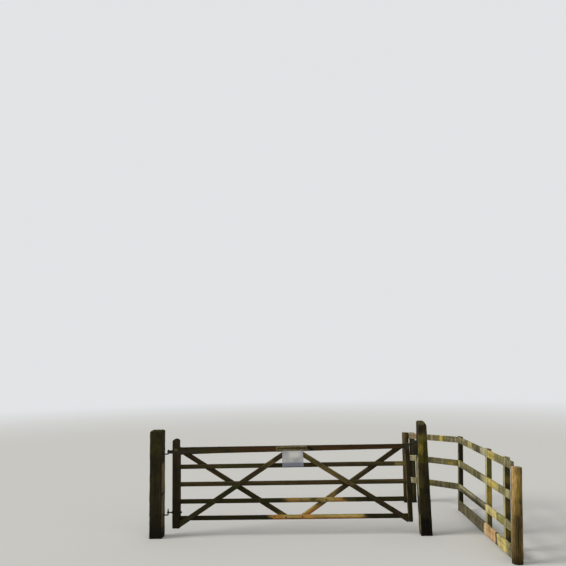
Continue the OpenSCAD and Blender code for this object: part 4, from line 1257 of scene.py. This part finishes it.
fasteners = {
    "boltHead": (12.5, 5.5), "nail": (5.2, 1.4), "peg": (6.0, 1.6), "screw": (3.6, 1.4), "rivet": (5.5, 3.0),
    "tack": (4.0, 1.8),  # so far the radius and the rise of each head
    "sunk": 1.5, "nut": 17.0, "nutThick": 8.0, "boltEnd": 5.0, "endRadii": (5.0, 5.0, 4.0, 1.0),
    "washer": 15.0, "washerBore": 4.0, "washerThick": 2.0, "turn": 0.7,
}


def domed(kind, place, way):  # a domed head that stands on a face
    radius, rise = (size * mm for size in fasteners[kind])
    turns = np.radians(domeTurns)
    rows = ringRows([-fasteners["sunk"] * mm, *(rise * np.sin(turns))],
        [radius, *(radius * np.cos(turns))], 20)
    return placed(rows, place, way)


def washerRows(bore, radius, thick, sides=24):
    return ringRows([0, 0, thick * mm, thick * mm], [r * mm for r in (bore, radius, radius, bore)], sides)


def coachBolt(front, back, spin):  # a domed head at the front, a washer, nut and bolt end at the back
    way = Vector(back) - Vector(front)
    thick = fasteners["washerThick"]
    washer = washerRows(fasteners["washerBore"], fasteners["washer"], thick)
    past = Vector(back) + way.normalized() * thick * mm
    nut = hexRows(fasteners["nut"] * mm, fasteners["nutThick"] * mm)
    reach = (fasteners["nutThick"] + fasteners["boltEnd"]) * mm
    end = ringRows([0, reach - mm, reach, reach], [r * mm for r in fasteners["endRadii"]], 16)
    return [domed("boltHead", front, -way), placed(washer, back, way), placed(nut, past, way, spin),
        placed(end, past, way)]


def routeLength(route):
    return np.linalg.norm(np.diff(route, axis=0), axis=1).sum()


def routeAt(points, places):  # places along a route, with the route's direction at each
    gaps = np.linalg.norm(np.diff(points, axis=0), axis=1)
    reach = np.concatenate([[0], np.cumsum(gaps)])
    at = np.stack([np.interp(places, reach, points[:, i]) for i in range(3)], -1)
    ways = np.gradient(at, axis=0)
    return at, ways / np.linalg.norm(ways, axis=1)[:, None]


def barRows(points, places, radiusOf, sides=28):  # a round bar along a route that lies in the XZ plane
    at, ways = routeAt(points, places)
    across = np.array([0.0, 1.0, 0.0])
    turn = np.arange(sides) * 2 * math.pi / sides
    rows = []
    for s, p, way in zip(places, at, ways):
        up = np.cross(way, across)
        r = radiusOf(s, turn)[:, None]
        rows.append(p + r * (np.cos(turn)[:, None] * across + np.sin(turn)[:, None] * up))
    return np.array(rows)


hooks = {
    "bend": 11.0, "bendSteps": 12, "play": 0.1, "thread": 52.0, "pitch": 2.6, "threadDepth": 1.0,
    "runOut": 4.0, "chamfer": 3.0, "chamferSlope": 1.2, "fine": 0.65, "coarse": 9.0, "bendStep": 2.0,
    "coarseEnd": 90.0, "bendFrom": 130.0,  # both back from the pin's top
    "nut": 32.0, "nutThick": 15.0, "nutSpin": 0.3, "washer": 58.0, "washerThick": 5.0, "washerCorner": 2.0,
    "washerSpins": (0.06, -0.04),
}


def threadedRadius(radius, first, last, length):  # a bar's radius, threaded from first to last
    def radiusOf(s, turn):
        r = np.full(len(turn), radius)
        if first <= s <= last:
            wave = (s / (hooks["pitch"] * mm) + turn / (2 * math.pi)) % 1.0
            fading = min(1, (last - s) / (hooks["runOut"] * mm))
            r = r - hooks["threadDepth"] * mm * (1 - np.abs(2 * wave - 1)) * fading
        tip = min(s, length - s)
        return np.minimum(r, radius - hooks["chamfer"] * mm + tip * hooks["chamferSlope"])
    return radiusOf


def makeHooks():
    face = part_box("hanging_post")[1].x
    bend, thread, thick = (hooks[key] * mm for key in ("bend", "thread", "washerThick"))
    half = hooks["washer"] / 2 * mm
    plate = plateRows(half, half, thick, hooks["washerCorner"] * mm, mm)
    nut = hexRows(hooks["nut"] * mm, hooks["nutThick"] * mm)
    for node in ("top_hook", "bottom_hook"):
        low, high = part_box(node)
        points = nodePoints(node)
        radius = high.x - points[points[:, 2] > high.z - mm][:, 0].mean()
        pinX = high.x - radius
        tail = points[points[:, 0] < low.x + mm]
        z = (tail[:, 2].min() + tail[:, 2].max()) / 2
        arc = [(pinX - bend + bend * math.sin(a), 0, z + bend - bend * math.cos(a))
            for a in np.linspace(0, math.pi / 2, hooks["bendSteps"])]
        route = np.array([(low.x, 0, z), *arc, (pinX, 0, high.z)])
        length = routeLength(route)
        places = np.unique(np.concatenate([
            np.arange(0, thread, hooks["fine"] * mm),
            np.arange(thread, length - hooks["coarseEnd"] * mm, hooks["coarse"] * mm),
            np.arange(length - hooks["bendFrom"] * mm, length, hooks["bendStep"] * mm),
            [length - 0.1 * mm]]))
        parts = [barRows(route, places, threadedRadius(radius - hooks["play"] * mm, 0, thread, length))]
        for way, spin in zip((-1, 1), hooks["washerSpins"]):
            parts.append(placed(plate, (way * face, 0, z), (way, 0, 0), spin))
        parts.append(placed(nut, (-face - thick, 0, z), (-1, 0, 0), hooks["nutSpin"]))
        addForged(node, parts, "gateway")


band = {
    "thick": 6.0, "eyeWall": 6.5, "bevel": 1.2, "spade": 26.0, "tipShare": 0.35,
    "bolts": (55.0, 200.0, 375.0), "boltSpin": 0.009,  # millimetres from the heel, and their turn
    "pinch": 11.0, "easeAt": (60.0, 30.0, 15.0), "leads": (4.0, -4.0), "dips": (0.5, 2.6), "eyeSteps": 40,
    "step": 9.0, "tip": 30.0, "tipSteps": 12, "eyeFrom": 450.0, "eyeStep": 2.5,
}


def makeTopBand():  # a strap that runs round the pin, with a leg and a spade end on each face of the leaf
    low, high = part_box("top_hinge_band")
    pin = frame["joints"][0]["pos_m"]
    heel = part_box("heel_stile")[0].x
    bevel, half = band["bevel"] * mm, band["thick"] / 2 * mm
    face = high.y - half
    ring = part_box("top_hook")[1].x - pin[0] + mm + band["eyeWall"] / 2 * mm
    corner = np.array([heel - pin[0] - band["pinch"] * mm, face])
    lean = math.acos(ring / np.linalg.norm(corner)) + math.atan2(corner[1], corner[0])
    arc = [(ring * math.cos(a), ring * math.sin(a), 0)
        for a in np.linspace(lean, 2 * math.pi - lean, band["eyeSteps"])]
    leg = [(high.x - pin[0], face, 0)] + [(corner[0] + d * mm, face, 0) for d in band["easeAt"]]
    leg += [(corner[0] + lead * mm, face - dip * mm, 0) for lead, dip in zip(band["leads"], band["dips"])]
    route = np.array([*leg, *arc, *[(x, -y, z) for x, y, z in reversed(leg)]])
    length = routeLength(route)
    tip = np.linspace(0, band["tip"] * mm, band["tipSteps"])
    eyeFrom = band["eyeFrom"] * mm
    places = np.unique(np.concatenate([np.arange(0, length, band["step"] * mm), [length], tip, length - tip,
        np.arange(eyeFrom, length - eyeFrom, band["eyeStep"] * mm)]))
    tall = (high.z - low.z) / 2
    middle = (low.z + high.z) / 2
    section = sectionPoints(tall, half, bevel, metal["spacing"] * mm, ())
    rows = []
    for s, p, way in zip(places, *routeAt(route, places)):
        share = min(1, min(s, length - s) / (band["spade"] * mm))
        rounded = band["tipShare"] + (1 - band["tipShare"]) * math.sqrt(max(0, 1 - (1 - share) ** 2))
        z = section[:, 0] * (tall * rounded - bevel) + section[:, 2] * bevel
        y = section[:, 1] * (half - bevel) + section[:, 3] * bevel
        side = np.array([-way[1], way[0], 0])
        rows.append(p + y[:, None] * side + z[:, None] * np.array([0, 0, 1]))
    parts = [np.array(rows) + np.array([pin[0], 0, middle])]
    for reach in band["bolts"]:
        x = heel + reach * mm
        parts += coachBolt((x, low.y, middle), (x, high.y, middle), reach * band["boltSpin"])
    addForged("top_hinge_band", parts, "gate_leaf")


lowEye = {
    "wall": 8.0, "half": 12.0, "edge": 2.5, "sides": 48, "neck": 3.0, "play": 0.2, "step": 6.0,
    "thread": 45.0,
    "nut": 32.0, "nutThick": 15.0, "nutSpin": 0.2, "washer": 24.0, "washerBore": 8.0, "washerThick": 2.5,
}


def makeBottomEye():
    low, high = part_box("bottom_hinge_eye")
    pin = frame["joints"][0]["pos_m"]
    z = (low.z + high.z) / 2
    outer = pin[0] - low.x
    bore = outer - lowEye["wall"] * mm
    half, edge, thread = (lowEye[key] * mm for key in ("half", "edge", "thread"))
    turned = [(math.cos(a), math.sin(a)) for a in np.radians(quarterTurn)]
    profile = [(outer - edge + edge * c, half - edge + edge * s) for c, s in turned]
    profile += [(bore + edge - edge * s, half - edge + edge * c) for c, s in turned]
    profile += [(r, -h) for r, h in reversed(profile)]
    rings = ringRows([h for r, h in profile], [r for r, h in profile], lowEye["sides"])
    count, sides = rings.shape[:2]
    index = np.arange(count * sides).reshape(count, sides)
    down, over = np.roll(index, -1, 0), np.roll(index, -1, 1)
    quads = np.stack([index, over, np.roll(over, -1, 0), down], -1).reshape(-1, 4)
    eye = bpy.data.meshes.new("eye")
    eye.from_pydata((rings.reshape(-1, 3) + np.array([pin[0], 0, z])).tolist(), [], quads[:, ::-1].tolist())
    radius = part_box("bottom_hook")[1].x - pin[0] - lowEye["play"] * mm
    route = np.array([(pin[0] + bore + lowEye["neck"] * mm, 0, z), (high.x, 0, z)])
    length = route[1][0] - route[0][0]
    places = np.unique(np.concatenate([np.arange(0, length, lowEye["step"] * mm),
        np.arange(length - thread, length, hooks["fine"] * mm), [length]]))
    parts = [eye, barRows(route, places, threadedRadius(radius, length - thread, length, length * 2))]
    nut = hexRows(lowEye["nut"] * mm, lowEye["nutThick"] * mm)
    washer = washerRows(lowEye["washerBore"], lowEye["washer"], lowEye["washerThick"], 32)
    for corner, way in zip(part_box("heel_stile"), (-1, 1)):
        parts.append(placed(washer, (corner.x, 0, z), (way, 0, 0)))
        past = corner.x + way * lowEye["washerThick"] * mm
        parts.append(placed(nut, (past, 0, z), (way, 0, 0), lowEye["nutSpin"] * way))
    addForged("bottom_hinge_eye", parts, "gate_leaf")


latch = {"inset": 13.0, "stem": 46.0, "bevel": 1.3, "weld": 0.05, "flatTo": 1, "sharpFrom": 35}


def softened(node):  # the node's own shape with its sharp edges eased
    shape = bmesh.new()
    shape.from_mesh(frame["nodes"][node].data)
    bmesh.ops.remove_doubles(shape, verts=shape.verts[:], dist=latch["weld"] * mm)
    bmesh.ops.dissolve_limit(shape, angle_limit=math.radians(latch["flatTo"]), verts=shape.verts[:],
        edges=shape.edges[:])
    least = math.radians(latch["sharpFrom"])
    sharp = [e for e in shape.edges if len(e.link_faces) == 2 and e.calc_face_angle(0) > least]
    bmesh.ops.bevel(shape, geom=sharp, offset=latch["bevel"] * mm, segments=2, profile=0.5, affect="EDGES")
    bmesh.ops.recalc_face_normals(shape, faces=shape.faces[:])
    mesh = bpy.data.meshes.new(node)
    shape.to_mesh(mesh)
    shape.free()
    return mesh


def makeLatch():
    low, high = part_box("gate_latch")
    inset, stem = latch["inset"] * mm, latch["stem"] * mm
    top, foot = high.z - inset, low.z + inset
    spots = ((low.x + inset, top), (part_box("head_stile")[1].x - inset, top), (low.x + inset, foot),
        (low.x + stem - inset, foot))
    rivets = [domed("rivet", (x, low.y, z), front) for x, z in spots]
    addForged("gate_latch", [softened("gate_latch"), *rivets], "gate_leaf")
    catch = frame["nodes"]["latch_catch"].data
    faces = [f for f in catch.polygons if f.normal.x < -0.9]
    plate = max(faces, key=lambda f: f.area)
    corners = np.array([catch.vertices[i].co[:] for f in faces for i in f.vertices
        if abs((f.center - plate.center).dot(plate.normal)) < mm])
    middle = corners.mean(0)
    slope = corners[corners[:, 2].argmax()] - corners[corners[:, 2].argmin()]
    parts = [softened("latch_catch")]
    for z in (corners[:, 2].min() + inset, corners[:, 2].max() - inset):
        for y in (corners[:, 1].max() - inset, corners[:, 1].min() + inset):
            x = middle[0] + (z - middle[2]) * slope[0] / slope[2]
            parts.append(domed("rivet", (x, y, z), plate.normal))
    addForged("latch_catch", parts, "gateway")


makeHooks()
makeTopBand()
makeBottomEye()
makeLatch()
print("metalwork made")


# Bolts, pegs and nails
def crossing(node, z):  # where the middle line of a brace passes a height
    way = longWay(node, [0, 2])
    blank = blankFromNode(node, way, (0, 0, 1))
    local = (nodePoints(node) - blank["origin"]) @ blank["axes"].T
    centre = blank["origin"] + blank["axes"][1] * (local[:, 1].min() + local[:, 1].max()) / 2
    return centre[0] + way[0] * (z - centre[2]) / way[2]


def makeLeafBolts():
    nearFace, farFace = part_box("front_brace_heel")[0].y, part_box("rear_brace_heel")[1].y
    holes = []  # the place, the height and the two faces of each bolt
    for node in braceTones:
        for rail in ("second_rail", "fourth_rail", "bottom_rail"):
            low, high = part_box(rail)
            z = middleOf(rail)[2]
            faces = (nearFace, high.y) if node.startswith("front") else (low.y, farFace)
            holes.append((crossing(node, z), z, *faces))
    z = middleOf("middle_rail")[2]
    holes += [(crossing(node, z), z, nearFace, farFace) for node in braceTones if node.startswith("front")]
    parts = []
    for count, (x, z, near, far) in enumerate(holes):
        parts += coachBolt((x, near, z), (x, far, z), count * fasteners["turn"])
    for stile in stileCrowns:
        for rail in railTones:
            for corner, way in zip(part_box(stile), (-1, 1)):
                parts.append(domed("peg", (middleOf(stile)[0], corner.y, middleOf(rail)[2]), (0, way, 0)))
    addFixings("leaf_bolts", parts, "gate_leaf")


penNails = {"seed": 7, "beside": 16.0, "fromEnd": 12.0, "fromEdge": 26.0, "wander": 4.0}
nailed = (  # the posts and the boards of each fence
    (("corner_post", "side_middle_post", "side_end_post"),
        ("side_top_rail", "side_middle_rail", "side_lower_rail", "rear_kickboard", "front_kickboard")),
    (("corner_post", "back_end_post"), ("back_top_rail", "back_middle_rail", "back_lower_rail")),
)


def makePenNails():  # two pairs at each post, one pair on each side of the post's middle
    dice = np.random.default_rng(penNails["seed"])
    beside, fromEnd, fromEdge = (penNails[key] * mm for key in ("beside", "fromEnd", "fromEdge"))
    parts = []
    for posts, boards in nailed:
        for board, post in ((b, p) for b in boards for p in posts):
            way, out, up = fenceOf(board)
            points = nodePoints(board)
            face, reach, width = (points @ out).max(), points @ way, points @ up
            for side in (-1, 1):
                along = nodePoints(post).mean(0) @ way + side * beside
                if not reach.min() + fromEnd < along < reach.max() - fromEnd:
                    continue
                for across in (width.min() + fromEdge, width.max() - fromEdge):
                    nudge = dice.uniform(-penNails["wander"], penNails["wander"], 2) * mm
                    place = way * (along + nudge[0]) + out * face + up * (across + nudge[1])
                    parts.append(domed("nail", place, out))
    addFixings("pen_nails", parts, "gateway")


makeLeafBolts()
makePenNails()
print("bolts and nails made")

# Plaque and notice
plaqueBoard = {
    "radius": 1.4, "endRadius": 1.4, "spacing": 4.0, "step": 10.0, "rough": 0.15, "ridge": 0.08, "chip": 0.6,
    "seed": 91.0, "pith": (0, 0.03, 0.04), "endRough": 0.1, "rim": 10.0, "rimOver": 0.75, "rimSoft": 2.0,
    "screwIn": (14.0, 12.0),  # from its ends and from its long edges
}


def makePlaque():
    low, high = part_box("plaque")
    long, rim, soft = high.x - low.x, plaqueBoard["rim"] * mm, plaqueBoard["rimSoft"] * mm
    over = plaqueBoard["rimOver"]
    # A pale border round the face: partly the plaque's own pale rim, partly a painted highlight along its
    # edges.
    border = [patch("bare", *span, soft=soft) for span in ((0, rim, 1.0), (long - rim, long, 1.0))]
    border += [patch("bare", 0, long, 1.0, over=edge, soft=soft) for edge in ((-2, -over), (over, 2))]
    blank = blankFromNode("plaque", (1, 0, 0), (0, 0, 1))
    mesh = timber("bare_plaque", blank, dict(plaqueBoard, patches=border))
    inX, inZ = (size * mm for size in plaqueBoard["screwIn"])
    screws = [domed("screw", (x, low.y, z), front) for x in (low.x + inX, high.x - inX)
        for z in (low.z + inZ, high.z - inZ)]
    addPiece("bare_plaque", mesh, "gate_leaf", "plaque_wood", plaqueWood, "plaque")
    addFixings("plaque_screws", screws, "gate_leaf")


notice = {
    "columns": 60, "rows": 46, "thick": 0.8, "belly": 2.2, "bellyTurns": 3.1, "bellyShift": 0.1, "curl": 8.0,
    "curlFrom": (0.55, 0.6), "curlPower": 1.5, "curlLeft": 0.6, "wave": 0.8, "waveScale": (5, 3, 1),
    "waveSeed": 4.0, "clear": 2.4, "foot": 0.5, "sway": 1.5, "swayTurn": 5, "sharpFrom": 60, "border": 9.0,
    "lightAt": (0.6, 0.26), "lightSize": (0.26, 0.2), "lightMost": 0.8, "lowAt": 0.75, "lowSoft": 0.03,
    "tacks": ((0.03, 0.04), (0.5, 0.035), (0.97, 0.04)),  # shares across and down, all on the top rail
}


def noticePoints(low, high, across, down):  # the near face of the sheet, which hangs from its top edge
    belly = notice["belly"] * mm * np.sin(math.pi * down) * np.cos(
        notice["bellyTurns"] * math.pi * (across - notice["bellyShift"]))
    sideFrom, downFrom = notice["curlFrom"]
    corner = np.maximum(0, np.abs(across - 0.5) * 2 - sideFrom) / (1 - sideFrom)
    corner = corner * np.maximum(0, down - downFrom) / (1 - downFrom)
    out = notice["curl"] * mm * corner ** notice["curlPower"] * np.where(
        across > 0.5, 1.0, notice["curlLeft"])
    wave = notice["wave"] * mm * humOver(across, down, 0, notice["waveScale"], notice["waveSeed"])
    hung = high.y - notice["clear"] * mm * (1 - down) + notice["foot"] * mm * down
    x = low.x + (high.x - low.x) * across - notice["sway"] * mm * down * np.sin(across * notice["swayTurn"])
    return np.stack([x, hung + belly - out + wave * down,
        high.z - (high.z - low.z) * down], -1).reshape(-1, 3)


def makeNotice():
    low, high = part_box("notice_sheet")
    wide, tall = high.x - low.x, high.z - low.z
    columns, rows = notice["columns"], notice["rows"]
    across, down = np.meshgrid(np.linspace(0, 1, columns), np.linspace(0, 1, rows))
    near = noticePoints(low, high, across, down)
    far = near + np.array([0, notice["thick"] * mm, 0])
    size = rows * columns
    index = np.arange(size).reshape(rows, columns)
    quads = np.stack([index[:-1, :-1], index[1:, :-1], index[1:, 1:], index[:-1, 1:]], -1).reshape(-1, 4)
    rim = np.concatenate([index[0], index[1:, -1], index[-1, -2::-1], index[-2:0:-1, 0]])
    sides = [[a, b, b + size, a + size] for a, b in zip(rim.tolist(), np.roll(rim, -1).tolist())]
    mesh = bpy.data.meshes.new("blank_notice")
    mesh.from_pydata(np.concatenate([near, far]).tolist(), [],
        quads.tolist() + (quads[:, ::-1] + size).tolist() + sides)
    smoothFaces(mesh, notice["sharpFrom"])
    rimNear = np.minimum(np.minimum(across, 1 - across) * wide, np.minimum(down, 1 - down) * tall)
    border = np.clip(1 - rimNear / (notice["border"] * mm), 0, 1)
    # A painted pool of light on the upper sheet, and below it a band of painted shade over the rail behind.
    (lightX, lightZ), (lightWide, lightTall) = notice["lightAt"], notice["lightSize"]
    light = np.exp(-(((across - lightX) / lightWide) ** 4 + ((down - lightZ) / lightTall) ** 4))
    lower = 0.5 + 0.5 * np.tanh((down - notice["lowAt"]) / notice["lowSoft"])
    for name, parts in (("marks", (border, 0 * border, 0 * border)),
            ("patches", (lower, light * notice["lightMost"], 1 + 0 * light))):
        values = np.stack(parts, -1).reshape(-1, 3)
        setMark(mesh, name, np.concatenate([values, values]))
    sheet = addPiece("blank_notice", mesh, "gate_leaf", "sheet_plastic", pocketPlastic, "notice_sheet")
    pinned = [round(d * (rows - 1)) * columns + round(a * (columns - 1)) for a, d in notice["tacks"]]
    tacks = addFixings("notice_pins", [domed("tack", near[i], front) for i in pinned], "gate_leaf")


makePlaque()
makeNotice()
print("plaque and notice made")

# Stage and light
studio = {
    "floor": (206, 204, 198), "sky": (226, 228, 230), "reach": 60.0, "sides": 64, "rough": 0.9,
    "specular": 0.1, "haze": (12.0, 34.0), "skyLevel": 0.55,
    "lamps": {  # strength, width in degrees and the way it comes from
        "keyLight": (2.6, 24.0, (-0.88, -0.16, 0.5)), "fillLight": (0.75, 80.0, (0.4, -0.85, 0.5)),
    },
}


def makeStage():
    floor = bpy.data.meshes.new("floor")
    turns = np.linspace(0, 2 * math.pi, studio["sides"], endpoint=False)
    around = [(studio["reach"] * math.cos(a), studio["reach"] * math.sin(a), 0) for a in turns]
    floor.from_pydata(around, [], [list(range(studio["sides"]))])
    ground = linked("floor", floor)
    material, tree, shader = newMaterial("floorPaint")
    shader.inputs["Base Color"].default_value = seen(*studio["floor"])
    shader.inputs["Roughness"].default_value = studio["rough"]
    shader.inputs["Specular IOR Level"].default_value = studio["specular"]
    shown = addNode(tree, "ShaderNodeLightPath").outputs["Is Camera Ray"]
    haze = times(tree, smooth(tree, vectorMaths(tree, "LENGTH", placeOf(tree)), *studio["haze"]), shown)
    sky = addNode(tree, "ShaderNodeEmission", {"Color": seen(*studio["sky"])}).outputs[0]
    faded = addNode(tree, "ShaderNodeMixShader", {0: haze, 1: shader.outputs[0], 2: sky})
    plug(tree, faded.outputs[0], tree.nodes["Material Output"].inputs["Surface"])
    floor.materials.append(material)


def makeLight():
    world = bpy.data.worlds.new("studio")
    bpy.context.scene.world = world
    world.use_nodes = True
    tree = world.node_tree
    background = tree.nodes["Background"]
    rays = addNode(tree, "ShaderNodeLightPath").outputs
    shown = maths(tree, "MAXIMUM", rays["Is Camera Ray"], rays["Is Transmission Ray"])
    background.inputs["Color"].default_value = seen(*studio["sky"])
    plug(tree, smooth(tree, shown, 0.0, 1.0, studio["skyLevel"], 1.0), background.inputs["Strength"])
    for name, (level, width, way) in studio["lamps"].items():
        lamp = bpy.data.lights.new(name, "SUN")
        lamp.energy = level
        lamp.angle = math.radians(width)
        linked(name, lamp).rotation_euler = Vector(way).to_track_quat("Z", "Y").to_euler()
    bpy.context.scene.view_settings.view_transform = "Standard"


makeStage()
makeLight()
print("stage and light set")
